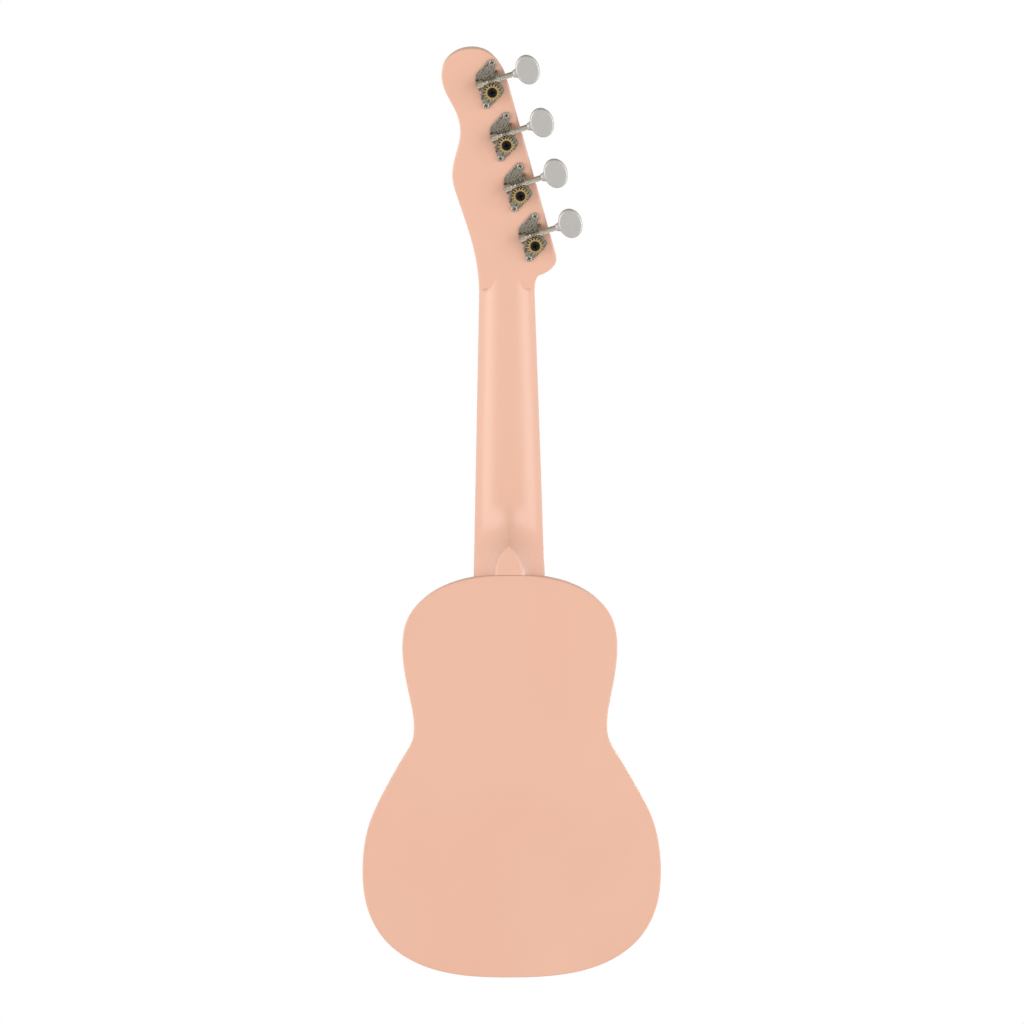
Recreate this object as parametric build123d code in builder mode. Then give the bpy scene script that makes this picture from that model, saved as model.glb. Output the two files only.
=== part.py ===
"""Soprano ukulele with a hollow wooden body, a one-sided headstock and four geared tuners.

Millimetres, +Z up along the neck. The flat back faces -Y and the strings face +Y. The origin is the
middle of the back's outer face. Heights called "up the body" are measured from the tail.
"""
from build123d import *
import os
from math import asin, atan2, cos, pi, radians, sin, sqrt, tan

os.makedirs("parts", exist_ok=True)

# Body outline, from the tail up
LOWER_BOUT_WIDTH = 179.0
WAIST_WIDTH = 116.0
UPPER_BOUT_WIDTH = 129.0
TAIL_TO_LOWER_BOUT = 67.5
LOWER_BOUT_TO_WAIST = 85.5
WAIST_TO_UPPER_BOUT = 46.5
UPPER_BOUT_TO_NECK = 42.0
TAIL_FULLNESS = 2.6  # 2 is an ellipse, more is squarer
SHOULDER_FULLNESS = 2.3
QUARTER_STEPS = 5
INSET_STATIONS = 72
LOWER_FLANK = ((0.155, 0.32), (0.435, 0.53), (0.77, 0.742), (0.975, 0.89))  # shares across and along
UPPER_FLANK = ((0.31, 0.295), (0.70, 0.56))

# Body walls and inner pieces
BODY_DEPTH = 60.0
BACK_THICKNESS = 2.0
TOP_THICKNESS = 2.0
RIB_THICKNESS = 1.8
PLATE_EDGE_ROUND = 0.9
LINING_WIDTH = 5.0
LINING_HEIGHT = 6.0
NECK_BLOCK_WIDTH = 46.0
NECK_BLOCK_LENGTH = 20.0
TAIL_BLOCK_WIDTH = 40.0
TAIL_BLOCK_LENGTH = 12.0
BRACE_WIDTH = 6.0
BRACE_HEIGHT = 8.0
BRACE_ROUND = 2.4
BACK_BRACES_UP = (58.0, 124.0, 190.0)
SOUND_HOLE_RADIUS = 24.0
SOUND_HOLE_UP = 156.0
TOP_BRACE_FROM_HOLE = 9.0
BRIDGE_PLATE_WIDTH = 90.0
BRIDGE_PLATE_LENGTH = 32.0
BRIDGE_PLATE_THICKNESS = 2.0
LABEL_WIDTH = 52.0
LABEL_LENGTH = 34.0
LABEL_THICKNESS = 0.2

# Neck, heel and headstock
SCALE_LENGTH = 346.0
NUT_WIDTH = 34.0
NECK_WIDTH_AT_BODY = 43.6
NECK_DEPTH_AT_NUT = 14.5
NECK_DEPTH_AT_BODY = 16.5
NECK_SIDE = 2.0
NECK_RUN_OUT = 14.0
HEEL_WIDTH = 16.4
HEEL_LENGTH = 17.5
HEEL_SHARES = ((0.0, 0.0, 0.0), (0.28, 0.10, 0.05), (0.54, 0.34, 0.18), (0.74, 0.72, 0.47), (0.90, 1.0, 1.0))
HEEL_RUN = 38.0
HEEL_SINK = 12.0  # the heel is made this much too long, then cut to the body's curve
HEEL_BLEND_RADIUS = 30.0
HEEL_EDGE_ROUND = 1.5
DOWEL_RADIUS = 4.0
DOWEL_UP_FROM_BACK = 28.0
DOWEL_IN_NECK = 14.0
HEAD_ANGLE = 12.0
HEAD_THICKNESS = 12.5
HEAD_EDGE_ROUND = 0.9
HEAD_LEFT_EDGE = (
    (-NUT_WIDTH / 2, 0.0), (-19.3, 21.0), (-23.7, 38.0), (-30.2, 58.0), (-32.6, 70.0), (-30.5, 81.0),
    (-27.4, 96.3), (-30.2, 109.0), (-36.3, 121.0), (-38.4, 130.5),
)
HEAD_TIP = ((-36.4, 138.6), (-30.8, 144.1), (-20.3, 147.0), (-9.0, 143.5), (-2.2, 135.3))
HEAD_RIGHT_TOP = (2.2, 123.4)
HEAD_RIGHT_TOP_TANGENT = (0.255, -0.967)
HEAD_RIGHT_BOTTOM = (29.7, 21.2)
HEAD_CORNER = (30.4, 16.9)
HEAD_THROAT = (22.4, 8.8)
HEAD_THROAT_END = (NUT_WIDTH / 2, 0.0)
HEAD_LEFT_START_TANGENT = (-0.02, 1.0)
HEAD_THROAT_TANGENT = (-0.1, -1.0)

# Fingerboard, frets, nut, bridge and saddle
FRET_COUNT = 15
FRETS_TO_BODY = 12
FINGERBOARD_THICKNESS = 4.5
FINGERBOARD_PAST_LAST_FRET = 8.0
FINGERBOARD_ROUND = 0.5
FRET_WIDTH = 1.9
FRET_HEIGHT = 0.9
FRET_TANG = 0.5
FRET_TANG_DEPTH = 1.6
FRET_END_INSET = 0.25
MARKED_FRETS = (5, 7, 10)
MARKER_RADIUS = 2.5
SIDE_MARKER_RADIUS = 1.0
MARKER_DEPTH = 1.2
NUT_THICKNESS = 4.0
NUT_OVER_FINGERBOARD = 2.1
NUT_ROUND = 0.8
NUT_SLOT_ANGLE = 17.0
STRING_OVER_FIRST_FRET = 0.5
STRING_OVER_JOINT_FRET = 2.6
BRIDGE_WIDTH = 78.0
BRIDGE_BLOCK_WIDTH = 56.0
BRIDGE_HEIGHT = 7.5
BRIDGE_WING_HEIGHT = 3.0
BRIDGE_IN_FRONT = 6.5
BRIDGE_BEHIND = 12.0
BRIDGE_CORNER = 3.0
WING_HOLLOW = 0.34
STRING_SLOT_WIDTH = 1.4
STRING_SLOT_FLOOR = 2.2
STRING_SLOT_TO_SADDLE = 3.2
SADDLE_THICKNESS = 3.0
SADDLE_WIDTH = 54.0
SADDLE_SLOT_DEPTH = 4.0
SADDLE_ROUND = 1.3

# Strings: G, C, E and A, from the bass side at +X
STRING_NAMES = ("g", "c", "e", "a")
STRING_DIAMETERS = (0.60, 0.90, 0.75, 0.60)
STRING_SPACING_AT_NUT = 9.0
STRING_SPACING_AT_SADDLE = 14.0
SADDLE_SEAT_GAP = 0.34
NUT_SEAT_GAP = 0.12
NUT_SLOT_GAP = 0.06
SADDLE_BEND_RADIUS = 3.0
NUT_BEND_RADIUS = 12.0
KNOT_RADIUS = 1.3
KNOT_HEIGHT = 3.4
KNOT_GAP = 0.1
WINDING_TURNS = 3
WINDING_HEIGHT = 6.0
WINDING_GAP = 0.1

# Tuners: places of the posts on the headstock, nearest the nut first, and their own sizes
POST_PLACES = ((17.5, 26.9), (8.7, 57.6), (0.6, 88.5), (-7.8, 120.6))
SHAFT_TURN = 17.3
POST_RADIUS = 3.0
POST_OVER_HEAD = 13.0
POST_ROUND = 0.8
POST_STUB_RADIUS = 2.0
STRING_HOLE_RADIUS = 0.8
STRING_HOLE_HEIGHT = 9.9
BUSHING_RADIUS = 4.0
BUSHING_DEPTH = 8.0
BUSHING_FLANGE_RADIUS = 5.4
BUSHING_FLANGE = 1.2
RUNNING_GAP = 0.08
HEAD_HOLE_GAP = 0.4
TUNER_PLATE = 1.0
PLATE_HOLE_GAP = 0.3
TUNER_PLATE_OUTLINE = (
    (4.2, 19.0), (-5.9, 13.2), (-7.9, 9.6), (-7.9, 3.6), (-6.0, 1.5), (-7.8, 0.4), (-7.5, -5.2),
    (-6.9, -8.6), (-5.0, -8.7), (4.6, -3.9), (7.3, -1.8), (7.4, 0.2), (6.4, 2.0), (7.1, 4.2),
    (7.1, 8.8), (5.3, 12.9), (7.3, 15.4), (6.4, 18.4),
)
TUNER_PLATE_CORNER = 0.45
PLATE_SCREW_PLACES = ((5.3, 16.9), (-6.1, -6.8))
PLATE_EAR_RADIUS = 2.1
PLATE_SCREW_RADIUS = 0.8
PLATE_SCREW_HEAD_RADIUS = 1.75
PLATE_SCREW_HEAD = 0.9
PLATE_SCREW_LENGTH = 6.0
SCREW_HEAD_ROUND = 0.35
WHEEL_TEETH = 16
WHEEL_PITCH_RADIUS = 4.6
WHEEL_ADDENDUM = 0.575
WHEEL_DEDENDUM = 0.75
WHEEL_THICKNESS = 3.2
WHEEL_GAP_WIDTH = 1.1
FLANK_ANGLE = 20.0
WORM_PITCH_RADIUS = 2.0
WORM_ROOT_RADIUS = 1.28
WORM_THREAD_WIDTH = 0.64
THREAD_SINK = 0.12  # how far the thread's foot is sunk in the worm's core
WORM_TURNS = 3
WORM_FIRST_TURN = -1
WORM_LEFT = -2.95
WORM_RIGHT = 4.75
SHAFT_HEIGHT = 4.4
SHAFT_RADIUS = 1.85
SHAFT_LEFT_END = -8.3
SHAFT_RIGHT_END = 23.5
SHAFT_COLLAR_GAP = 0.2
RIGHT_JOURNAL_RADIUS = 1.6
LUG_RADIUS = 2.2
LUG_SIDE_GAP = 0.35
LEFT_LUG_WIDTH = 4.6
RIGHT_LUG_WIDTH = 2.0
WHEEL_SCREW_RADIUS = 1.1
WHEEL_SCREW_LENGTH = 6.0
WHEEL_SCREW_HEAD_RADIUS = 3.0
WHEEL_SCREW_HEAD = 1.1
BUTTON_LENGTH = 18.0
BUTTON_WIDTH = 14.4
BUTTON_THICKNESS = 5.6
BUTTON_ROUND = 1.9
BUTTON_CENTRE = 24.6
BUTTON_STEM_START = 15.5
BUTTON_STEM_START_RADIUS = 2.3
BUTTON_STEM_OVERLAP = 0.9
BUTTON_STEM_END_RADIUS = 2.85

# Worked out from the driving sizes
BODY_LENGTH = TAIL_TO_LOWER_BOUT + LOWER_BOUT_TO_WAIST + WAIST_TO_UPPER_BOUT + UPPER_BOUT_TO_NECK
TAIL = -BODY_LENGTH / 2
WAIST_UP = TAIL_TO_LOWER_BOUT + LOWER_BOUT_TO_WAIST
UPPER_BOUT_UP = WAIST_UP + WAIST_TO_UPPER_BOUT
RIB_DEPTH = BODY_DEPTH - BACK_THICKNESS - TOP_THICKNESS
TOP_INSIDE = BODY_DEPTH - TOP_THICKNESS
JOINT_TO_NUT = SCALE_LENGTH * (1 - 2 ** (-FRETS_TO_BODY / 12))
NUT_UP = BODY_LENGTH + JOINT_TO_NUT
SADDLE_UP = NUT_UP - SCALE_LENGTH
HEAD_UP = NUT_UP + NUT_THICKNESS
FINGERBOARD_FACE = BODY_DEPTH + FINGERBOARD_THICKNESS
FRET_TOP = FINGERBOARD_FACE + FRET_HEIGHT
WORM_UP = WHEEL_PITCH_RADIUS + WORM_PITCH_RADIUS
WORM_PITCH = 2 * pi * WHEEL_PITCH_RADIUS / WHEEL_TEETH
WORM_LEAD_SLOPE = WORM_PITCH / (2 * pi * WORM_PITCH_RADIUS)
WHEEL_BOTTOM = SHAFT_HEIGHT - WHEEL_THICKNESS / 2
WHEEL_TOP = SHAFT_HEIGHT + WHEEL_THICKNESS / 2
CUT = 1.0  # how far a cut runs past the face it opens


def back_plane(depth):
    """A plane that faces the back, this deep into the body, with its origin at the tail."""
    return Plane(origin=(0, depth, TAIL), x_dir=(1, 0, 0), z_dir=(0, -1, 0))


def level_plane(up):
    """A level plane this far up the body."""
    return Plane.XY.offset(TAIL + up)


def side_plane():
    """The instrument's middle plane: across it runs depth, and up it runs height from the tail."""
    return Plane(origin=(0, 0, TAIL), x_dir=(0, 1, 0), z_dir=(1, 0, 0))


def body_point(across, depth, up):
    return Vector(across, depth, TAIL + up)


def neck_half_width(up):
    """Half the width of the neck and the fingerboard, which taper evenly."""
    widening = (NECK_WIDTH_AT_BODY - NUT_WIDTH) / 2 / JOINT_TO_NUT
    return NUT_WIDTH / 2 + (NUT_UP - up) * widening


def fret_up(number):
    return NUT_UP - SCALE_LENGTH * (1 - 2 ** (-number / 12))


def bout_quarter(half_width, height, fullness):
    """Points from the middle line out to the widest place of a bout, on a squared-up ellipse."""
    points = []
    for step in range(QUARTER_STEPS + 1):
        turn = pi / 2 * step / QUARTER_STEPS
        across = half_width * sin(turn) ** (2 / fullness)
        along = height * (1 - max(cos(turn), 0) ** (2 / fullness))
        points.append((across, along))
    return points


def flank_points(shares, start, end):
    """Points between two widths of the outline, as shares of the way across and along."""
    return [
        (start[0] + across * (end[0] - start[0]), start[1] + along * (end[1] - start[1]))
        for across, along in shares
    ]


def body_half_outline():
    """The right half of the outline, from the tail to the neck."""
    lower = (LOWER_BOUT_WIDTH / 2, TAIL_TO_LOWER_BOUT)
    waist = (WAIST_WIDTH / 2, WAIST_UP)
    upper = (UPPER_BOUT_WIDTH / 2, UPPER_BOUT_UP)
    shoulder = [
        (across, BODY_LENGTH - along)
        for across, along in reversed(bout_quarter(upper[0], UPPER_BOUT_TO_NECK, SHOULDER_FULLNESS))
    ]
    return (
        bout_quarter(lower[0], lower[1], TAIL_FULLNESS)
        + flank_points(LOWER_FLANK, lower, waist)
        + [waist]
        + flank_points(UPPER_FLANK, waist, upper)
        + shoulder
    )


# The outline and the lines inside it, drawn from the tail up
right_half = body_half_outline()
left_half = [(-across, along) for across, along in reversed(right_half[1:-1])]
with BuildSketch() as outline:
    with BuildLine():
        Spline(*right_half, *left_half, periodic=True)
    make_face()


def inset_outline(distance):
    """The body's outline drawn in by an even distance."""
    edge = outline.edges()[0]
    points = []
    for station in range(INSET_STATIONS):
        share = station / INSET_STATIONS
        ahead = edge.tangent_at(share)
        inward = Vector(-ahead.Y, ahead.X)
        points.append(edge.position_at(share) + inward * distance)
    with BuildSketch() as inset:
        with BuildLine():
            Spline(*points, periodic=True)
        make_face()
    return inset.sketch


rib_inside = inset_outline(RIB_THICKNESS)
lining_inside = inset_outline(RIB_THICKNESS + LINING_WIDTH)

# Places of the neck dowel and the headstock
DOWEL_UP = BODY_LENGTH + DOWEL_IN_NECK
DOWEL_LENGTH = DOWEL_IN_NECK + RIB_THICKNESS + NECK_BLOCK_LENGTH
HEAD_NORMAL = Vector(0, -cos(radians(HEAD_ANGLE)), -sin(radians(HEAD_ANGLE)))
head_front = Plane(origin=body_point(0, BODY_DEPTH, HEAD_UP), x_dir=(1, 0, 0), z_dir=HEAD_NORMAL)
head_back = head_front.offset(HEAD_THICKNESS)


def dowel_plane():
    """Faces down into the body from the dowel's end in the heel."""
    return Plane(origin=body_point(0, DOWEL_UP_FROM_BACK, DOWEL_UP), x_dir=(1, 0, 0), z_dir=(0, 0, -1))


def tuner_plane(number):
    """On the headstock's back at a post: x towards the button, y towards the worm, z backwards."""
    across, along = POST_PLACES[number]
    turn = radians(SHAFT_TURN)
    towards_button = head_back.x_dir * cos(turn) + head_back.y_dir * sin(turn)
    centre = head_back.from_local_coords((across, along, 0))
    return Plane(origin=centre, x_dir=towards_button, z_dir=head_back.z_dir)


def shaft_plane(number, along):
    """Square to a worm shaft, this far towards its button, with x from the worm to the wheel."""
    tuner = tuner_plane(number)
    centre = tuner.from_local_coords((along, WORM_UP, SHAFT_HEIGHT))
    return Plane(origin=centre, x_dir=-tuner.y_dir, z_dir=tuner.x_dir)


def post_side_plane(number):
    """Holds a post's axis: x across the post, y backwards along it."""
    tuner = tuner_plane(number)
    return Plane(origin=tuner.origin, x_dir=tuner.x_dir, z_dir=-tuner.y_dir)


# ---------------------------------------------------------------- body
with BuildPart() as back:
    with BuildSketch(back_plane(0)):
        add(outline.sketch)
    extrude(amount=-BACK_THICKNESS)
    fillet(back.edges().group_by(Axis.Y)[0], radius=PLATE_EDGE_ROUND)
back.part.label = "back"
export_step(back.part, "parts/back.step")

with BuildPart() as top:
    with BuildSketch(back_plane(TOP_INSIDE)):
        add(outline.sketch)
    extrude(amount=-TOP_THICKNESS)
    fillet(top.edges().group_by(Axis.Y)[-1], radius=PLATE_EDGE_ROUND)
    with BuildSketch(back_plane(TOP_INSIDE - CUT)):
        with Locations((0, SOUND_HOLE_UP)):
            Circle(SOUND_HOLE_RADIUS)
    extrude(amount=-TOP_THICKNESS - 2 * CUT, mode=Mode.SUBTRACT)
top.part.label = "top"
export_step(top.part, "parts/top.step")

for rib_name, side in (("rib_bass", Keep.TOP), ("rib_treble", Keep.BOTTOM)):
    with BuildPart() as rib:
        with BuildSketch(back_plane(BACK_THICKNESS)):
            add(outline.sketch)
            add(rib_inside, mode=Mode.SUBTRACT)
        extrude(amount=-RIB_DEPTH)
        split(bisect_by=Plane.YZ, keep=side)
        with BuildSketch(dowel_plane()):
            Circle(DOWEL_RADIUS)
        extrude(amount=DOWEL_LENGTH, mode=Mode.SUBTRACT)
    rib.part.label = rib_name
    export_step(rib.part, f"parts/{rib_name}.step")

with BuildPart() as neck_block:
    with BuildSketch(back_plane(BACK_THICKNESS)):
        add(rib_inside)
        with Locations((0, BODY_LENGTH - RIB_THICKNESS)):
            Rectangle(NECK_BLOCK_WIDTH, 2 * NECK_BLOCK_LENGTH, mode=Mode.INTERSECT)
    extrude(amount=-RIB_DEPTH)
    with BuildSketch(dowel_plane()):
        Circle(DOWEL_RADIUS)
    extrude(amount=DOWEL_LENGTH + CUT, mode=Mode.SUBTRACT)
neck_block.part.label = "neck_block"
export_step(neck_block.part, "parts/neck_block.step")

with BuildPart() as tail_block:
    with BuildSketch(back_plane(BACK_THICKNESS)):
        add(rib_inside)
        with Locations((0, RIB_THICKNESS)):
            Rectangle(TAIL_BLOCK_WIDTH, 2 * TAIL_BLOCK_LENGTH, mode=Mode.INTERSECT)
    extrude(amount=-RIB_DEPTH)
tail_block.part.label = "tail_block"
export_step(tail_block.part, "parts/tail_block.step")

LINING_DEPTHS = {"back_lining": BACK_THICKNESS, "top_lining": TOP_INSIDE - LINING_HEIGHT}
for lining_name, lining_depth in LINING_DEPTHS.items():
    with BuildPart() as lining:
        with BuildSketch(back_plane(lining_depth)):
            add(rib_inside)
            add(lining_inside, mode=Mode.SUBTRACT)
            with Locations((0, BODY_LENGTH - RIB_THICKNESS)):
                Rectangle(NECK_BLOCK_WIDTH, 2 * NECK_BLOCK_LENGTH, mode=Mode.SUBTRACT)
            with Locations((0, RIB_THICKNESS)):
                Rectangle(TAIL_BLOCK_WIDTH, 2 * TAIL_BLOCK_LENGTH, mode=Mode.SUBTRACT)
        extrude(amount=-LINING_HEIGHT)
    lining.part.label = lining_name
    export_step(lining.part, f"parts/{lining_name}.step")

with BuildPart() as back_braces:
    with BuildSketch(back_plane(BACK_THICKNESS)):
        with Locations(*[(0, up) for up in BACK_BRACES_UP]):
            Rectangle(LOWER_BOUT_WIDTH, BRACE_WIDTH)
        add(lining_inside, mode=Mode.INTERSECT)
    extrude(amount=-BRACE_HEIGHT)
    fillet(back_braces.edges().group_by(Axis.Y)[-1].filter_by(Axis.X), radius=BRACE_ROUND)
back_braces.part.label = "back_braces"
export_step(back_braces.part, "parts/back_braces.step")

TOP_BRACE_REACH = SOUND_HOLE_RADIUS + TOP_BRACE_FROM_HOLE + BRACE_WIDTH / 2
with BuildPart() as top_braces:
    with BuildSketch(back_plane(TOP_INSIDE - BRACE_HEIGHT)):
        with Locations((0, SOUND_HOLE_UP - TOP_BRACE_REACH), (0, SOUND_HOLE_UP + TOP_BRACE_REACH)):
            Rectangle(LOWER_BOUT_WIDTH, BRACE_WIDTH)
        add(lining_inside, mode=Mode.INTERSECT)
    extrude(amount=-BRACE_HEIGHT)
    fillet(top_braces.edges().group_by(Axis.Y)[0].filter_by(Axis.X), radius=BRACE_ROUND)
top_braces.part.label = "top_braces"
export_step(top_braces.part, "parts/top_braces.step")

with BuildPart() as bridge_plate:
    with BuildSketch(back_plane(TOP_INSIDE - BRIDGE_PLATE_THICKNESS)):
        with Locations((0, SADDLE_UP)):
            Rectangle(BRIDGE_PLATE_WIDTH, BRIDGE_PLATE_LENGTH)
    extrude(amount=-BRIDGE_PLATE_THICKNESS)
bridge_plate.part.label = "bridge_plate"
export_step(bridge_plate.part, "parts/bridge_plate.step")

with BuildPart() as label:
    with BuildSketch(back_plane(BACK_THICKNESS)):
        with Locations((0, SOUND_HOLE_UP)):
            Rectangle(LABEL_WIDTH, LABEL_LENGTH)
    extrude(amount=-LABEL_THICKNESS)
label.part.label = "label"
export_step(label.part, "parts/label.step")

# ---------------------------------------------------------------- neck
def neck_section(up, depth):
    """The neck's section, flat under the fingerboard and round behind."""
    half = neck_half_width(up)
    side = BODY_DEPTH - NECK_SIDE
    with BuildSketch(level_plane(up)) as section:
        with BuildLine():
            Polyline((half, side), (half, BODY_DEPTH), (-half, BODY_DEPTH), (-half, side))
            EllipticalCenterArc((0, side), half, depth - NECK_SIDE, start_angle=180, arc_size=180)
        make_face()
    return section.sketch


def heel_section(depth, half_width, length):
    """A pointed arch that stands on the body's end."""
    radius = (half_width**2 + length**2) / (2 * half_width)
    middle = length / 2
    bow = half_width - radius + sqrt(radius**2 - middle**2)
    foot = BODY_LENGTH - HEEL_SINK
    tip = (0, BODY_LENGTH + length)
    with BuildSketch(back_plane(depth)) as section:
        with BuildLine():
            Polyline(
                (half_width, BODY_LENGTH), (half_width, foot),
                (-half_width, foot), (-half_width, BODY_LENGTH),
            )
            ThreePointArc((half_width, BODY_LENGTH), (bow, BODY_LENGTH + middle), tip)
            ThreePointArc(tip, (-bow, BODY_LENGTH + middle), (-half_width, BODY_LENGTH))
        make_face()
    return section.sketch


with BuildPart() as neck:
    with BuildSketch(head_back):
        with BuildLine():
            Spline(
                *HEAD_LEFT_EDGE, *HEAD_TIP, HEAD_RIGHT_TOP,
                tangents=(HEAD_LEFT_START_TANGENT, HEAD_RIGHT_TOP_TANGENT),
            )
            Line(HEAD_RIGHT_TOP, HEAD_RIGHT_BOTTOM)
            Spline(
                HEAD_RIGHT_BOTTOM, HEAD_CORNER, HEAD_THROAT, HEAD_THROAT_END,
                tangents=(HEAD_RIGHT_TOP_TANGENT, HEAD_THROAT_TANGENT),
            )
            Line(HEAD_THROAT_END, HEAD_LEFT_EDGE[0])
        make_face()
    extrude(amount=-HEAD_THICKNESS)
    head_rims = neck.faces().filter_by(head_back).edges().filter_by(Axis.X, reverse=True)
    fillet(head_rims, radius=HEAD_EDGE_ROUND)
    add(neck_section(BODY_LENGTH - HEEL_SINK, NECK_DEPTH_AT_BODY))
    add(neck_section(HEAD_UP + NECK_RUN_OUT, NECK_DEPTH_AT_NUT))
    loft()
    split(bisect_by=head_front, keep=Keep.TOP)
    for deep, wider, longer in HEEL_SHARES:
        half_width = HEEL_WIDTH / 2 + wider * (NECK_WIDTH_AT_BODY - HEEL_WIDTH) / 2
        add(heel_section(BODY_DEPTH * deep, half_width, HEEL_LENGTH + longer * HEEL_RUN))
    loft()
    heel_top = TAIL + BODY_LENGTH + HEEL_LENGTH
    off_middle = neck.edges().filter_by(lambda edge: abs(edge.center().X) > CUT)
    fillet(off_middle.filter_by_position(Axis.Z, heel_top, heel_top + HEEL_RUN), radius=HEEL_BLEND_RADIUS)
    cap_edges = off_middle.filter_by_position(Axis.Z, TAIL + BODY_LENGTH, heel_top).group_by(Axis.Y)[0]
    fillet(cap_edges, radius=HEEL_EDGE_ROUND)
    with BuildSketch(back_plane(-CUT)):
        add(outline.sketch)
    extrude(amount=-BODY_DEPTH - 2 * CUT, mode=Mode.SUBTRACT)
    with BuildSketch(dowel_plane()):
        Circle(DOWEL_RADIUS)
    extrude(amount=DOWEL_LENGTH, mode=Mode.SUBTRACT)
    with BuildSketch(head_front):
        with Locations(*POST_PLACES):
            Circle(POST_RADIUS + HEAD_HOLE_GAP)
    extrude(amount=HEAD_THICKNESS + CUT, mode=Mode.SUBTRACT)
    with BuildSketch(head_front):
        with Locations(*POST_PLACES):
            Circle(BUSHING_RADIUS)
    extrude(amount=BUSHING_DEPTH, mode=Mode.SUBTRACT)
    for number in range(len(POST_PLACES)):
        with BuildSketch(tuner_plane(number)):
            with Locations(*PLATE_SCREW_PLACES):
                Circle(PLATE_SCREW_RADIUS)
        extrude(amount=-PLATE_SCREW_LENGTH, mode=Mode.SUBTRACT)
neck.part.label = "neck"
export_step(neck.part, "parts/neck.step")

with BuildPart() as neck_dowel:
    with BuildSketch(dowel_plane()):
        Circle(DOWEL_RADIUS)
    extrude(amount=DOWEL_LENGTH)
neck_dowel.part.label = "neck_dowel"
export_step(neck_dowel.part, "parts/neck_dowel.step")

# ---------------------------------------------------------------- fingerboard
FINGERBOARD_END = fret_up(FRET_COUNT) - FINGERBOARD_PAST_LAST_FRET
FRET_NUMBERS = range(1, FRET_COUNT + 1)
MARKER_PLACES = [(fret_up(number) + fret_up(number - 1)) / 2 for number in MARKED_FRETS]


def side_marker_plane(up):
    """Faces out of the fingerboard's bass side, at the bottom of a side marker's hole."""
    centre = body_point(
        neck_half_width(up) - MARKER_DEPTH, BODY_DEPTH + FINGERBOARD_THICKNESS / 2, up
    )
    return Plane(origin=centre, x_dir=(0, 1, 0), z_dir=(1, 0, 0))


with BuildPart() as fingerboard:
    with BuildSketch(back_plane(BODY_DEPTH)):
        with BuildLine():
            Polyline(
                (neck_half_width(FINGERBOARD_END), FINGERBOARD_END),
                (neck_half_width(NUT_UP), NUT_UP),
                (-neck_half_width(NUT_UP), NUT_UP),
                (-neck_half_width(FINGERBOARD_END), FINGERBOARD_END),
                close=True,
            )
        make_face()
    extrude(amount=-FINGERBOARD_THICKNESS)
    face_edges = fingerboard.edges().group_by(Axis.Y)[-1]
    fillet(face_edges.filter_by(Axis.X, reverse=True), radius=FINGERBOARD_ROUND)
    with BuildSketch(back_plane(FINGERBOARD_FACE - FRET_TANG_DEPTH)):
        with Locations(*[(0, fret_up(number)) for number in FRET_NUMBERS]):
            Rectangle(2 * NECK_WIDTH_AT_BODY, FRET_TANG)
    extrude(amount=-FRET_TANG_DEPTH - CUT, mode=Mode.SUBTRACT)
    with BuildSketch(back_plane(FINGERBOARD_FACE - MARKER_DEPTH)):
        with Locations(*[(0, up) for up in MARKER_PLACES]):
            Circle(MARKER_RADIUS)
    extrude(amount=-MARKER_DEPTH - CUT, mode=Mode.SUBTRACT)
    for up in MARKER_PLACES:
        with BuildSketch(side_marker_plane(up)):
            Circle(SIDE_MARKER_RADIUS)
        extrude(amount=MARKER_DEPTH + CUT, mode=Mode.SUBTRACT)
fingerboard.part.label = "fingerboard"
export_step(fingerboard.part, "parts/fingerboard.step")

with BuildPart() as frets:
    for number in FRET_NUMBERS:
        up = fret_up(number)
        with BuildSketch(side_plane()):
            with BuildLine():
                Polyline(
                    (FINGERBOARD_FACE, up + FRET_WIDTH / 2),
                    (FINGERBOARD_FACE, up + FRET_TANG / 2),
                    (FINGERBOARD_FACE - FRET_TANG_DEPTH, up + FRET_TANG / 2),
                    (FINGERBOARD_FACE - FRET_TANG_DEPTH, up - FRET_TANG / 2),
                    (FINGERBOARD_FACE, up - FRET_TANG / 2),
                    (FINGERBOARD_FACE, up - FRET_WIDTH / 2),
                )
                ThreePointArc(
                    (FINGERBOARD_FACE, up - FRET_WIDTH / 2),
                    (FRET_TOP, up),
                    (FINGERBOARD_FACE, up + FRET_WIDTH / 2),
                )
            make_face()
        extrude(amount=neck_half_width(up) - FRET_END_INSET, both=True)
frets.part.label = "frets"
export_step(frets.part, "parts/frets.step")

with BuildPart() as fret_markers:
    with BuildSketch(back_plane(FINGERBOARD_FACE - MARKER_DEPTH)):
        with Locations(*[(0, up) for up in MARKER_PLACES]):
            Circle(MARKER_RADIUS)
    extrude(amount=-MARKER_DEPTH)
fret_markers.part.label = "fret_markers"
export_step(fret_markers.part, "parts/fret_markers.step")

with BuildPart() as side_markers:
    for up in MARKER_PLACES:
        with BuildSketch(side_marker_plane(up)):
            Circle(SIDE_MARKER_RADIUS)
        extrude(amount=MARKER_DEPTH)
side_markers.part.label = "side_markers"
export_step(side_markers.part, "parts/side_markers.step")

# ---------------------------------------------------------------- strings' route
NUT_STRING_BED = FRET_TOP + STRING_OVER_FIRST_FRET
STRING_RISE = STRING_OVER_JOINT_FRET - STRING_OVER_FIRST_FRET
SADDLE_TOP = NUT_STRING_BED + STRING_RISE * SCALE_LENGTH / JOINT_TO_NUT
KNOT_UP = SADDLE_UP - BRIDGE_BEHIND - KNOT_GAP - KNOT_RADIUS
STRING_NUMBERS = range(len(STRING_NAMES))
STRING_ACROSS = [(len(STRING_NAMES) - 1) / 2 - number for number in STRING_NUMBERS]


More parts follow.
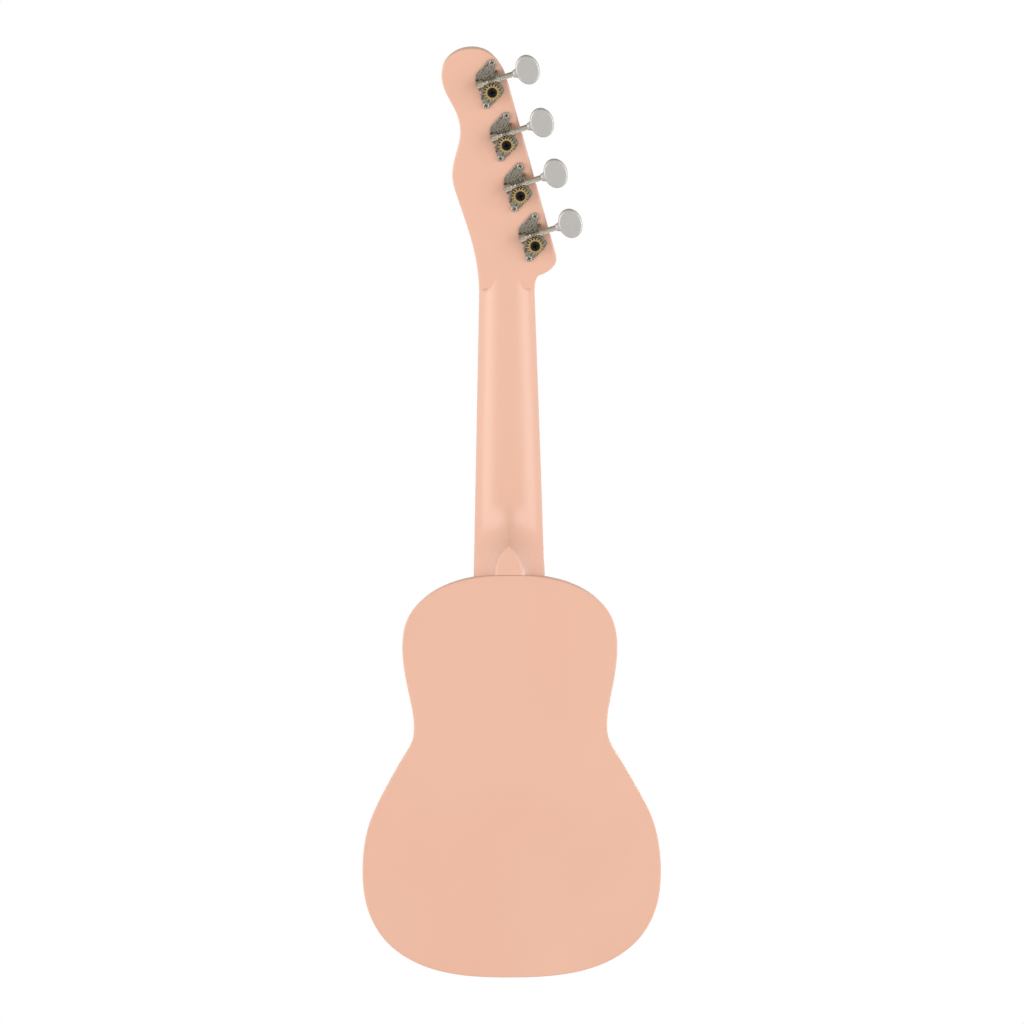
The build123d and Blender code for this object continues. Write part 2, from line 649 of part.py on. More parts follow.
def string_points(number):
    """The corners of a string: its knot, the saddle, the nut and the side of its post."""
    thickness = STRING_DIAMETERS[number]
    across = STRING_ACROSS[number]
    saddle_level = SADDLE_TOP + SADDLE_SEAT_GAP + thickness / 2
    nut_level = NUT_STRING_BED + NUT_SEAT_GAP + thickness / 2
    knot = body_point(across * STRING_SPACING_AT_SADDLE, BODY_DEPTH + KNOT_HEIGHT, KNOT_UP)
    saddle_corner = body_point(across * STRING_SPACING_AT_SADDLE, saddle_level, SADDLE_UP)
    nut_middle = NUT_UP + NUT_THICKNESS / 2
    nut_corner = body_point(across * STRING_SPACING_AT_NUT, nut_level, nut_middle)
    start = head_back.to_local_coords(nut_corner)
    post_across, post_along = POST_PLACES[number]
    away = sqrt((post_across - start.X) ** 2 + (post_along - start.Y) ** 2)
    beside_post = POST_RADIUS + thickness * 3 / 2 + WINDING_GAP
    course = atan2(post_along - start.Y, post_across - start.X) + asin(beside_post / away)
    reach = sqrt(away**2 - beside_post**2)
    end = (
        start.X + reach * cos(course),
        start.Y + reach * sin(course),
        -HEAD_THICKNESS - WINDING_HEIGHT,
    )
    return knot, saddle_corner, nut_corner, head_back.from_local_coords(end)


# ---------------------------------------------------------------- nut, bridge and saddle
with BuildPart() as nut:
    with BuildSketch(back_plane(BODY_DEPTH)):
        with Locations((0, NUT_UP + NUT_THICKNESS / 2)):
            Rectangle(NUT_WIDTH, NUT_THICKNESS)
    extrude(amount=-FINGERBOARD_THICKNESS - NUT_OVER_FINGERBOARD)
    fillet(nut.edges().group_by(Axis.Y)[-1], radius=NUT_ROUND)
    nut_middle = NUT_UP + NUT_THICKNESS / 2
    behind_nut = NUT_UP + NUT_THICKNESS + CUT
    slot_drop = (behind_nut - nut_middle) * tan(radians(NUT_SLOT_ANGLE))
    for number in STRING_NUMBERS:
        slot_half = STRING_DIAMETERS[number] / 2 + NUT_SLOT_GAP
        slot_middle = STRING_ACROSS[number] * STRING_SPACING_AT_NUT
        with BuildSketch(side_plane().offset(slot_middle - slot_half)):
            with BuildLine():
                Polyline(
                    (NUT_STRING_BED, NUT_UP - CUT),
                    (NUT_STRING_BED, nut_middle),
                    (NUT_STRING_BED - slot_drop, behind_nut),
                    (SADDLE_TOP, behind_nut),
                    (SADDLE_TOP, NUT_UP - CUT),
                    close=True,
                )
            make_face()
        extrude(amount=2 * slot_half, mode=Mode.SUBTRACT)
nut.part.label = "nut"
export_step(nut.part, "parts/nut.step")

BRIDGE_TOP = BODY_DEPTH + BRIDGE_HEIGHT
WING_TOP = BODY_DEPTH + BRIDGE_WING_HEIGHT
with BuildPart() as bridge:
    with BuildSketch(level_plane(SADDLE_UP - BRIDGE_BEHIND)):
        with BuildLine():
            block_end = BRIDGE_BLOCK_WIDTH / 2
            wing_end = BRIDGE_WIDTH / 2
            wing_middle = ((block_end + wing_end) / 2, WING_TOP + (BRIDGE_TOP - WING_TOP) * WING_HOLLOW)
            Polyline(
                (-wing_end, WING_TOP), (-wing_end, BODY_DEPTH), (wing_end, BODY_DEPTH), (wing_end, WING_TOP),
            )
            ThreePointArc((wing_end, WING_TOP), wing_middle, (block_end, BRIDGE_TOP))
            Line((block_end, BRIDGE_TOP), (-block_end, BRIDGE_TOP))
            ThreePointArc((-block_end, BRIDGE_TOP), (-wing_middle[0], wing_middle[1]), (-wing_end, WING_TOP))
        make_face()
    extrude(amount=BRIDGE_BEHIND + BRIDGE_IN_FRONT)
    fillet(bridge.edges().filter_by(Axis.Y), radius=BRIDGE_CORNER)
    with BuildSketch(back_plane(BRIDGE_TOP - SADDLE_SLOT_DEPTH)):
        with Locations((0, SADDLE_UP)):
            Rectangle(SADDLE_WIDTH, SADDLE_THICKNESS)
    extrude(amount=-SADDLE_SLOT_DEPTH - CUT, mode=Mode.SUBTRACT)
    slot_length = BRIDGE_BEHIND - STRING_SLOT_TO_SADDLE + CUT
    with BuildSketch(back_plane(BODY_DEPTH + STRING_SLOT_FLOOR)):
        slot_up = SADDLE_UP - STRING_SLOT_TO_SADDLE - slot_length / 2
        with Locations(*[(across * STRING_SPACING_AT_SADDLE, slot_up) for across in STRING_ACROSS]):
            Rectangle(STRING_SLOT_WIDTH, slot_length)
    extrude(amount=-BRIDGE_HEIGHT, mode=Mode.SUBTRACT)
bridge.part.label = "bridge"
export_step(bridge.part, "parts/bridge.step")

with BuildPart() as saddle:
    with BuildSketch(back_plane(BRIDGE_TOP - SADDLE_SLOT_DEPTH)):
        with Locations((0, SADDLE_UP)):
            Rectangle(SADDLE_WIDTH, SADDLE_THICKNESS)
    extrude(amount=BRIDGE_TOP - SADDLE_SLOT_DEPTH - SADDLE_TOP)
    fillet(saddle.edges().group_by(Axis.Y)[-1].filter_by(Axis.X), radius=SADDLE_ROUND)
saddle.part.label = "saddle"
export_step(saddle.part, "parts/saddle.step")

# ---------------------------------------------------------------- strings
for number in STRING_NUMBERS:
    knot, saddle_corner, nut_corner, post_side = string_points(number)
    with BuildPart() as string:
        with BuildLine() as route:
            FilletPolyline(
                knot, saddle_corner, nut_corner, post_side,
                radius=(SADDLE_BEND_RADIUS, NUT_BEND_RADIUS),
            )
        with BuildSketch(Plane(origin=route.line @ 0, z_dir=route.line % 0)):
            Circle(STRING_DIAMETERS[number] / 2)
        sweep(path=route.line)
        with Locations(knot):
            Sphere(KNOT_RADIUS)
    string.part.label = f"string_{STRING_NAMES[number]}"
    export_step(string.part, f"parts/string_{STRING_NAMES[number]}.step")

    thickness = STRING_DIAMETERS[number]
    turn_middle = POST_RADIUS + thickness / 2
    turn_heights = [-HEAD_THICKNESS - WINDING_HEIGHT - turn * thickness for turn in range(WINDING_TURNS)]
    with BuildPart() as winding:
        with BuildSketch(post_side_plane(number)):
            with Locations(*[(turn_middle, height) for height in turn_heights]):
                Circle(thickness / 2)
            with Locations(((POST_RADIUS + turn_middle) / 2, sum(turn_heights) / WINDING_TURNS)):
                Rectangle(thickness / 2, WINDING_TURNS * thickness)
        revolve(axis=Axis(tuner_plane(number).origin, tuner_plane(number).z_dir))
    winding.part.label = f"string_{STRING_NAMES[number]}_winding"
    export_step(winding.part, f"parts/string_{STRING_NAMES[number]}_winding.step")

# ---------------------------------------------------------------- tuners
LEFT_LUG_START = WORM_LEFT - LUG_SIDE_GAP - LEFT_LUG_WIDTH
RIGHT_LUG_START = WORM_RIGHT + LUG_SIDE_GAP
SHAFT_START = RIGHT_LUG_START + RIGHT_LUG_WIDTH + SHAFT_COLLAR_GAP


def tuner_plate(number):
    """The stamped base plate, with its two bearing lugs curled up out of it."""
    lugs = (
        (LEFT_LUG_START, LEFT_LUG_WIDTH, WORM_ROOT_RADIUS + RUNNING_GAP),
        (RIGHT_LUG_START, RIGHT_LUG_WIDTH, RIGHT_JOURNAL_RADIUS + RUNNING_GAP),
    )
    with BuildPart() as plate:
        with BuildSketch(tuner_plane(number)) as blank:
            with BuildLine():
                Polyline(*TUNER_PLATE_OUTLINE, close=True)
            make_face()
            fillet(blank.vertices(), radius=TUNER_PLATE_CORNER)
            with Locations(*PLATE_SCREW_PLACES):
                Circle(PLATE_EAR_RADIUS)
        extrude(amount=TUNER_PLATE)
        for start, width, hole_radius in lugs:
            with BuildSketch(shaft_plane(number, start)):
                Circle(LUG_RADIUS)
                with Locations((0, SHAFT_HEIGHT / 2)):
                    Rectangle(2 * LUG_RADIUS, SHAFT_HEIGHT)
                Circle(hole_radius, mode=Mode.SUBTRACT)
            extrude(amount=width)
        with BuildSketch(tuner_plane(number)):
            Circle(POST_RADIUS + PLATE_HOLE_GAP)
            with Locations(*PLATE_SCREW_PLACES):
                Circle(PLATE_SCREW_RADIUS)
        extrude(amount=TUNER_PLATE, mode=Mode.SUBTRACT)
    return plate.part


def worm_shaft(number):
    """The worm with its two journals and the shaft that carries the button."""
    steps = (
        (SHAFT_LEFT_END, WORM_RIGHT, WORM_ROOT_RADIUS),
        (WORM_RIGHT, SHAFT_START, RIGHT_JOURNAL_RADIUS),
        (SHAFT_START, SHAFT_RIGHT_END, SHAFT_RADIUS),
    )
    thread_start = shaft_plane(number, WORM_PITCH * WORM_FIRST_TURN)
    turns = Helix(pitch=WORM_PITCH, height=WORM_PITCH * WORM_TURNS, radius=WORM_PITCH_RADIUS)
    thread = thread_start * turns
    with BuildPart() as shaft:
        for start, end, radius in steps:
            with BuildSketch(shaft_plane(number, start)):
                Circle(radius)
            extrude(amount=end - start)
        with BuildSketch(Plane(origin=thread @ 0, x_dir=thread_start.x_dir, z_dir=thread % 0)):
            inner = WORM_ROOT_RADIUS - THREAD_SINK - WORM_PITCH_RADIUS
            inner_half = WORM_THREAD_WIDTH / 2 - inner * tan(radians(FLANK_ANGLE))
            outer_half = WORM_THREAD_WIDTH / 2 - WHEEL_ADDENDUM * tan(radians(FLANK_ANGLE))
            with BuildLine():
                Polyline(
                    (inner, -inner_half),
                    (WHEEL_ADDENDUM, -outer_half),
                    (WHEEL_ADDENDUM, outer_half),
                    (inner, inner_half),
                    close=True,
                )
            make_face()
        sweep(path=thread, is_frenet=True)
    return shaft.part


def tuner_button(number):
    """The oval cast button with its tapered stem, pressed on the shaft."""
    tuner = tuner_plane(number)
    button_origin = tuner.from_local_coords((BUTTON_CENTRE, WORM_UP, SHAFT_HEIGHT))
    stem_end = BUTTON_CENTRE - BUTTON_WIDTH / 2 + BUTTON_STEM_OVERLAP
    with BuildPart() as button:
        with BuildSketch(Plane(origin=button_origin, x_dir=tuner.x_dir, z_dir=tuner.z_dir)):
            Ellipse(BUTTON_WIDTH / 2, BUTTON_LENGTH / 2)
        extrude(amount=BUTTON_THICKNESS / 2, both=True)
        fillet(button.edges().filter_by(GeomType.ELLIPSE), radius=BUTTON_ROUND)
        with BuildSketch(shaft_plane(number, BUTTON_STEM_START)):
            Circle(BUTTON_STEM_START_RADIUS)
        with BuildSketch(shaft_plane(number, stem_end)):
            Circle(BUTTON_STEM_END_RADIUS)
        loft()
        with BuildSketch(shaft_plane(number, BUTTON_STEM_START)):
            Circle(SHAFT_RADIUS)
        extrude(amount=SHAFT_RIGHT_END - BUTTON_STEM_START, mode=Mode.SUBTRACT)
    return button.part


def worm_wheel(number):
    """The toothed wheel on the post, its gaps slanted to suit the worm's thread."""
    tuner = tuner_plane(number)
    with BuildPart() as wheel:
        with BuildSketch(tuner.offset(WHEEL_BOTTOM)):
            Circle(WHEEL_PITCH_RADIUS + WHEEL_ADDENDUM)
            Circle(POST_STUB_RADIUS, mode=Mode.SUBTRACT)
        extrude(amount=WHEEL_THICKNESS)
        for tooth in range(WHEEL_TEETH):
            turn = pi / 2 + 2 * pi * tooth / WHEEL_TEETH
            outward = tuner.x_dir * cos(turn) + tuner.y_dir * sin(turn)
            around = tuner.y_dir * cos(turn) - tuner.x_dir * sin(turn)
            centre = tuner.origin + tuner.z_dir * SHAFT_HEIGHT + outward * WHEEL_PITCH_RADIUS
            slant = tuner.z_dir + around * WORM_LEAD_SLOPE
            inner_half = WHEEL_GAP_WIDTH / 2 - WHEEL_DEDENDUM * tan(radians(FLANK_ANGLE))
            outer_half = WHEEL_GAP_WIDTH / 2 + (WHEEL_ADDENDUM + CUT) * tan(radians(FLANK_ANGLE))
            with BuildSketch(Plane(origin=centre, x_dir=outward, z_dir=slant)):
                with BuildLine():
                    Polyline(
                        (-WHEEL_DEDENDUM, -inner_half),
                        (WHEEL_ADDENDUM + CUT, -outer_half),
                        (WHEEL_ADDENDUM + CUT, outer_half),
                        (-WHEEL_DEDENDUM, inner_half),
                        close=True,
                    )
                make_face()
            extrude(amount=WHEEL_THICKNESS, both=True, mode=Mode.SUBTRACT)
    return wheel.part


def string_post(number):
    """The post, from its front end with the string hole to the stub inside the wheel."""
    tuner = tuner_plane(number)
    front_end = -HEAD_THICKNESS - POST_OVER_HEAD
    hole_origin = tuner.from_local_coords((0, 0, -HEAD_THICKNESS - STRING_HOLE_HEIGHT))
    with BuildPart() as post:
        with BuildSketch(tuner.offset(front_end)):
            Circle(POST_RADIUS)
        extrude(amount=WHEEL_BOTTOM - front_end)
        fillet(post.edges().sort_by(Axis(tuner.origin, tuner.z_dir))[0], radius=POST_ROUND)
        with BuildSketch(tuner.offset(WHEEL_BOTTOM)):
            Circle(POST_STUB_RADIUS)
        extrude(amount=WHEEL_THICKNESS)
        with BuildSketch(tuner.offset(WHEEL_TOP)):
            Circle(WHEEL_SCREW_RADIUS)
        extrude(amount=-WHEEL_SCREW_LENGTH, mode=Mode.SUBTRACT)
        with BuildSketch(Plane(origin=hole_origin, x_dir=tuner.y_dir, z_dir=tuner.x_dir)):
            Circle(STRING_HOLE_RADIUS)
        extrude(amount=2 * POST_RADIUS, both=True, mode=Mode.SUBTRACT)
    return post.part


def wheel_screw(number):
    """The round-headed screw that holds the wheel on its post."""
    tuner = tuner_plane(number)
    with BuildPart() as screw:
        with BuildSketch(tuner.offset(WHEEL_TOP)):
            Circle(WHEEL_SCREW_HEAD_RADIUS)
        extrude(amount=WHEEL_SCREW_HEAD)
        fillet(screw.edges().sort_by(Axis(tuner.origin, tuner.z_dir))[-1], radius=SCREW_HEAD_ROUND)
        with BuildSketch(tuner.offset(WHEEL_TOP)):
            Circle(WHEEL_SCREW_RADIUS)
        extrude(amount=-WHEEL_SCREW_LENGTH)
    return screw.part


TUNER_PIECES = {
    "plate": tuner_plate,
    "worm_shaft": worm_shaft,
    "button": tuner_button,
    "worm_wheel": worm_wheel,
    "post": string_post,
    "wheel_screw": wheel_screw,
}
TUNER_NUMBERS = range(len(POST_PLACES))
for number in TUNER_NUMBERS:
    for piece_name, make_piece in TUNER_PIECES.items():
        piece = make_piece(number)
        piece.label = f"tuner_{number + 1}_{piece_name}"
        export_step(piece, f"parts/tuner_{number + 1}_{piece_name}.step")

with BuildPart() as plate_screws:
    for number in TUNER_NUMBERS:
        with BuildSketch(tuner_plane(number).offset(TUNER_PLATE)):
            with Locations(*PLATE_SCREW_PLACES):
                Circle(PLATE_SCREW_HEAD_RADIUS)
        extrude(amount=PLATE_SCREW_HEAD)
        with BuildSketch(tuner_plane(number).offset(TUNER_PLATE)):
            with Locations(*PLATE_SCREW_PLACES):
                Circle(PLATE_SCREW_RADIUS)
        extrude(amount=-PLATE_SCREW_LENGTH - TUNER_PLATE)
    head_tops = plate_screws.faces().group_by(Axis((0, 0, 0), HEAD_NORMAL))[-1]
    fillet(head_tops.edges(), radius=SCREW_HEAD_ROUND)
plate_screws.part.label = "plate_screws"
export_step(plate_screws.part, "parts/plate_screws.step")

with BuildPart() as post_bushings:
    with BuildSketch(head_front.offset(-BUSHING_FLANGE)):
        with Locations(*POST_PLACES):
            Circle(BUSHING_FLANGE_RADIUS)
    extrude(amount=BUSHING_FLANGE)
    with BuildSketch(head_front):
        with Locations(*POST_PLACES):
            Circle(BUSHING_RADIUS)
    extrude(amount=BUSHING_DEPTH)
    with BuildSketch(head_front.offset(-BUSHING_FLANGE - CUT)):
        with Locations(*POST_PLACES):
            Circle(POST_RADIUS + RUNNING_GAP)
    extrude(amount=BUSHING_FLANGE + BUSHING_DEPTH + 2 * CUT, mode=Mode.SUBTRACT)
post_bushings.part.label = "post_bushings"
export_step(post_bushings.part, "parts/post_bushings.step")
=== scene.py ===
"""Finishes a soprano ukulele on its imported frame: satin paint, strings, frets and geared tuners.

Everything is in metres on the frame's own axes: +Z runs up along the neck, the flat back faces -Y
and the strings face +Y. The sizes and tables of the metal parts below are in millimetres.
"""

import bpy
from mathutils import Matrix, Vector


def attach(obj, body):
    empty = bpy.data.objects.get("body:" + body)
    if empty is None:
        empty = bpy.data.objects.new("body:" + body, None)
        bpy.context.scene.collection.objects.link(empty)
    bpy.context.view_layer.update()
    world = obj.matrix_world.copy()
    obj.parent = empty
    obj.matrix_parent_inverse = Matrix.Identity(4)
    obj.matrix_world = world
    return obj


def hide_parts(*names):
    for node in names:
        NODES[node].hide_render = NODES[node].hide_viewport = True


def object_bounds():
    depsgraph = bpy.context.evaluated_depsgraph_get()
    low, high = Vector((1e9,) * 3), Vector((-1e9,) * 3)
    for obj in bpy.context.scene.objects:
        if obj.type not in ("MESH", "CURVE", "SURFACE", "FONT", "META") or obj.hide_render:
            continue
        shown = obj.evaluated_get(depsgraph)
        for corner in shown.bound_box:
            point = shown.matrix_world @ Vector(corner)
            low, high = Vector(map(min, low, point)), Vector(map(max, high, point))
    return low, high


bl_info = {
    "name": "Soprano Ukulele",
    "version": (1, 0, 0),
    "blender": (4, 5, 0),
    "location": "3D View > Sidebar > Ukulele",
    "description": "Finishes the ukulele's paint, strings, frets and tuners on its packed frame",
    "category": "Object",
}

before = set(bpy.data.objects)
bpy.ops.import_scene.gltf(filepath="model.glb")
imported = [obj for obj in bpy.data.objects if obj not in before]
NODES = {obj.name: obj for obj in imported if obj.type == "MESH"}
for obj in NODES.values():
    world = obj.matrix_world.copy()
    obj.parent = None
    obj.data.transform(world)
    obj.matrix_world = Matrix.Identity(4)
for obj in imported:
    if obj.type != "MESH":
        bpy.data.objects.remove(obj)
FRAME_LOW, FRAME_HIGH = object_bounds()

from math import cos, pi, radians, sin, sqrt

import bpy
from bpy.props import FloatProperty, FloatVectorProperty, IntProperty, PointerProperty
from mathutils import Matrix, Vector

MM = 0.001
TUNERS = (1, 2, 3, 4)

# Wood: how far its grain is drawn out, how many pores lie across one fibre, and the grain's axes
GRAIN_DRAW = 0.035
PORES_PER_FIBRE = 2.4
LEVEL, UPRIGHT = 0, 2

# Dirt and painted shade: gaps narrower than these are darkened, in metres
GEAR_GAP = 0.0011
PLATE_GAP = 0.0016

# Strings: the note each one sounds, in the order of their tuners, and how thick each is
STRINGS = ("g", "c", "e", "a")
STRING_THICKNESS = (0.60, 0.90, 0.75, 0.60)

# Headstock: leans back, and holds the four posts at these places across and along its back face
HEAD_START = Vector((0.0, 60.0, 297.75)) * MM
HEAD_LEAN = radians(12.0)
HEAD_THICKNESS = 12.5
POST_PLACES = ((17.5, 26.9), (8.7, 57.6), (0.6, 88.5), (-7.8, 120.6))
SHAFT_TURN = radians(17.3)
POST_RADIUS = 3.0
STRING_HOLE_HEIGHT = 9.9

# Tuner plate, on the tuner's own axes: across towards the button, along towards the worm
PLATE_THICKNESS = 1.0
PLATE_OUTLINE = (
    (4.2, 19.0), (-5.9, 13.2), (-7.9, 9.6), (-7.9, 3.6), (-6.0, 1.5), (-7.8, 0.4), (-7.5, -5.2),
    (-6.9, -8.6), (-5.0, -8.7), (4.6, -3.9), (7.3, -1.8), (7.4, 0.2), (6.4, 2.0), (7.1, 4.2),
    (7.1, 8.8), (5.3, 12.9), (7.3, 15.4), (6.4, 18.4),
)
PLATE_SCREWS = ((5.3, 16.9), (-6.1, -6.8))
PLATE_EAR_RADIUS = 2.1
PLATE_HOLE_RADIUS = 3.3
SHAFT_ACROSS_PLATE = 6.6
SHAFT_HEIGHT = 4.4
LUG_RADIUS = 2.2
LUGS = ((-7.9, 4.6, 1.36, 0.6), (5.1, 2.0, 1.68, 3.0))  # start, width, bore radius and slope
SCREW_HEAD_RADIUS = 1.75
SCREW_HEAD_HEIGHT = 0.9
PLATE_SCREW_ARM = 1.2
WHEEL_TOP = 6.0
WHEEL_SCREW_RADIUS = 3.0
WHEEL_SCREW_HEIGHT = 1.1
WHEEL_SCREW_ARM = 1.8

# Tuner button, which lies about the worm shaft's line
BUTTON_CENTRE = 24.6
BUTTON_HALF_WIDTH = 7.2
BUTTON_HALF_LENGTH = 9.0
BUTTON_HALF_THICKNESS = 2.8
BUTTON_CROWN = 0.035
STEM_START = 15.5
STEM_STATIONS = (  # across towards the button, half along its face, half through it
    (STEM_START, 1.95, 1.95), (STEM_START + 0.05, 2.2, 2.2), (STEM_START + 0.3, 2.32, 2.32),
    (16.4, 2.5, 2.45), (17.2, 2.75, 2.5), (17.8, 3.1, 2.45), (18.4, 3.6, 2.35),
    (19.2, 4.1, 2.2), (20.4, 4.3, 1.8),
)

# String winding: where it starts in front of the head, and how it ends through the post's hole
WINDING_START = 6.0
WINDING_STEPS = 40
WINDING_CLIMB_STEPS = 16
STRING_END = (2.2, 1.0, -1.0, -3.0, -4.6)

# Studio, in metres and watts: name, place, size and power of each softbox
SOFTBOXES = (
    ("Left softbox", (-1.5, -0.75, 0.35), (1.2, 2.2), 23.6),
    ("Right softbox", (1.5, -0.75, 0.25), (1.2, 2.2), 22.8),
    ("Front softbox", (0.3, 1.9, -0.4), (1.2, 1.2), 12.5),
)
WALL_LIGHT = 0.765
CEILING_LIGHT = 0.285
FLOOR_HALF_WIDTH = 4.0
FLOOR_LEVEL = -2.7
FLOOR_GLOW = 0.36
CAMERA_PLACE = (0.002, -2.5, 0.1586)
CAMERA_ROLL = radians(0.487)
CAMERA_LENS = 146.5
CAMERA_SENSOR = 36.0
CAMERA_NEAR = 0.1
CAMERA_FAR = 30.0


class UkuleleColours(bpy.types.PropertyGroup):
    """Colours of the instrument's paint, woods and metals."""

    body_paint: FloatVectorProperty(
        name="Body paint", description="Pale pink satin paint of the body, neck and headstock",
        subtype="COLOR", size=3, min=0.0, max=1.0, default=(0.745, 0.437, 0.318),
    )
    inner_wood: FloatVectorProperty(
        name="Inner wood", description="Plain wood of the blocks, linings and braces",
        subtype="COLOR", size=3, min=0.0, max=1.0, default=(0.62, 0.44, 0.27),
    )
    dark_wood: FloatVectorProperty(
        name="Dark wood", description="Fingerboard and bridge",
        subtype="COLOR", size=3, min=0.0, max=1.0, default=(0.085, 0.042, 0.026),
    )
    plate_metal: FloatVectorProperty(
        name="Plate metal", description="Aged plating of the tuner plates, shafts and posts",
        subtype="COLOR", size=3, min=0.0, max=1.0, default=(0.66, 0.61, 0.52),
    )
    screw_metal: FloatVectorProperty(
        name="Screw metal", description="Plating of the small plate screws",
        subtype="COLOR", size=3, min=0.0, max=1.0, default=(0.54, 0.51, 0.45),
    )
    button_metal: FloatVectorProperty(
        name="Button metal", description="Satin metal of the tuner buttons",
        subtype="COLOR", size=3, min=0.0, max=1.0, default=(0.565, 0.549, 0.528),
    )
    brass: FloatVectorProperty(
        name="Brass", description="Toothed wheels",
        subtype="COLOR", size=3, min=0.0, max=1.0, default=(0.78, 0.56, 0.25),
    )
    string_nylon: FloatVectorProperty(
        name="String nylon", description="The four strings",
        subtype="COLOR", size=3, min=0.0, max=1.0, default=(0.80, 0.79, 0.74),
    )


class UkuleleSizes(bpy.types.PropertyGroup):
    """Small sizes that change the finish and not the fit."""

    button_edge: FloatProperty(
        name="Button edge", description="Radius of the rounded edge of a tuner button",
        subtype="DISTANCE", unit="LENGTH", min=0.0005, max=0.0026, default=0.0012,
    )
    plate_edge: FloatProperty(
        name="Plate edge", description="Radius of the stamped edge of a tuner plate",
        subtype="DISTANCE", unit="LENGTH", min=0.00005, max=0.0004, default=0.0002,
    )
    fibre_width: FloatProperty(
        name="Wood fibre width", description="Width of one streak in the wood's grain",
        subtype="DISTANCE", unit="LENGTH", min=0.0003, max=0.005, default=0.0011,
    )
    string_turns: IntProperty(
        name="String turns", description="Whole turns of string round each post",
        min=2, max=4, default=3,
    )


# ------------------------------------------------------------------ finishes
class Finish:
    """A finish being mixed: a material, its shader and short ways to add to its nodes."""

    def __init__(self, name, colour, roughness, metallic=0.0):
        self.material = bpy.data.materials.new(name)
        self.material.use_nodes = True
        self.tree = self.material.node_tree
        self.shader = next(node for node in self.tree.nodes if node.type == "BSDF_PRINCIPLED")
        self.set("Base Color", (*colour, 1.0))
        self.set("Roughness", roughness)
        self.set("Metallic", metallic)
        self.place = self.tree.nodes.new("ShaderNodeTexCoord").outputs["Object"]

    def set(self, socket, value):
        """Gives the shader a plain value, or links it to another node's output."""
        target = self.shader.inputs[socket]
        if isinstance(value, bpy.types.NodeSocket):
            self.tree.links.new(value, target)
        else:
            target.default_value = value

    def add(self, kind, inputs, **settings):
        """Adds one node; inputs are plain values or other nodes' outputs."""
        node = self.tree.nodes.new(kind)
        for setting, value in settings.items():
            setattr(node, setting, value)
        for socket, value in inputs.items():
            if isinstance(value, bpy.types.NodeSocket):
                self.tree.links.new(value, node.inputs[socket])
            else:
                node.inputs[socket].default_value = value
        return node

    def stretched(self, scale, turn=(0.0, 0.0, 0.0)):
        """The object's own metres, scaled and turned for a pattern."""
        inputs = {"Vector": self.place, "Scale": scale, "Rotation": turn}
        return self.add("ShaderNodeMapping", inputs).outputs["Vector"]

    def noise(self, place, scale, detail=4.0, roughness=0.55, distortion=0.0):
        """Cloudy values about 0.5, with this many clouds in a metre."""
        node = self.add("ShaderNodeTexNoise", {
            "Vector": place, "Scale": scale, "Detail": detail,
            "Roughness": roughness, "Distortion": distortion,
        })
        return node.outputs["Fac"]

    def bands(self, place, scale, distortion, direction):
        """Waving stripes that go from 0 to 1 and back."""
        node = self.add("ShaderNodeTexWave", {
            "Vector": place, "Scale": scale, "Distortion": distortion,
            "Detail": 3.0, "Detail Scale": 1.6,
        }, wave_type="BANDS", bands_direction=direction, wave_profile="SIN")
        return node.outputs["Fac"]

    def crevice_shade(self, reach):
        """Painted shade: goes from 0 in the open to 1 in gaps and corners narrower than the reach,
        in metres, read from ambient occlusion.
        """
        node = self.add("ShaderNodeAmbientOcclusion", {"Distance": reach}, samples=8)
        return self.range(node.outputs["AO"], 0.30, 0.85, 1.0, 0.0)

    def range(self, value, low, high, to_low, to_high):
        """Stretches values from one span to another, and holds them at its ends."""
        node = self.add("ShaderNodeMapRange", {
            "Value": value, "From Min": low, "From Max": high, "To Min": to_low, "To Max": to_high,
        })
        return node.outputs["Result"]

    def times(self, first, second):
        return self.add("ShaderNodeMath", {0: first, 1: second}, operation="MULTIPLY").outputs[0]

    def plus(self, first, second):
        return self.add("ShaderNodeMath", {0: first, 1: second}, operation="ADD").outputs[0]

    def shade(self, share, first, second):
        """Goes from the first colour to the second as share goes from 0 to 1."""
        node = self.add("ShaderNodeMix", {0: share}, data_type="RGBA")
        for socket, colour in ((6, first), (7, second)):
            if isinstance(colour, bpy.types.NodeSocket):
                self.tree.links.new(colour, node.inputs[socket])
            else:
                node.inputs[socket].default_value = (*colour[:3], 1.0)
        return node.outputs[2]

    def relief(self, height, depth):
        """Raises the surface by this much, in metres, where height is 1."""
        node = self.add("ShaderNodeBump", {"Height": height, "Distance": depth, "Strength": 1.0})
        self.set("Normal", node.outputs["Normal"])


def darker(colour, *shares):
    """The colour with its three channels cut to these shares, or all of them to a single one."""
    if len(shares) == 1:
        shares = shares * 3
    return tuple(channel * share for channel, share in zip(colour, shares))


def along_grain(axis, share):
    """A pattern's scale that draws it out along one axis."""
    return tuple(share if index == axis else 1.0 for index in range(3))


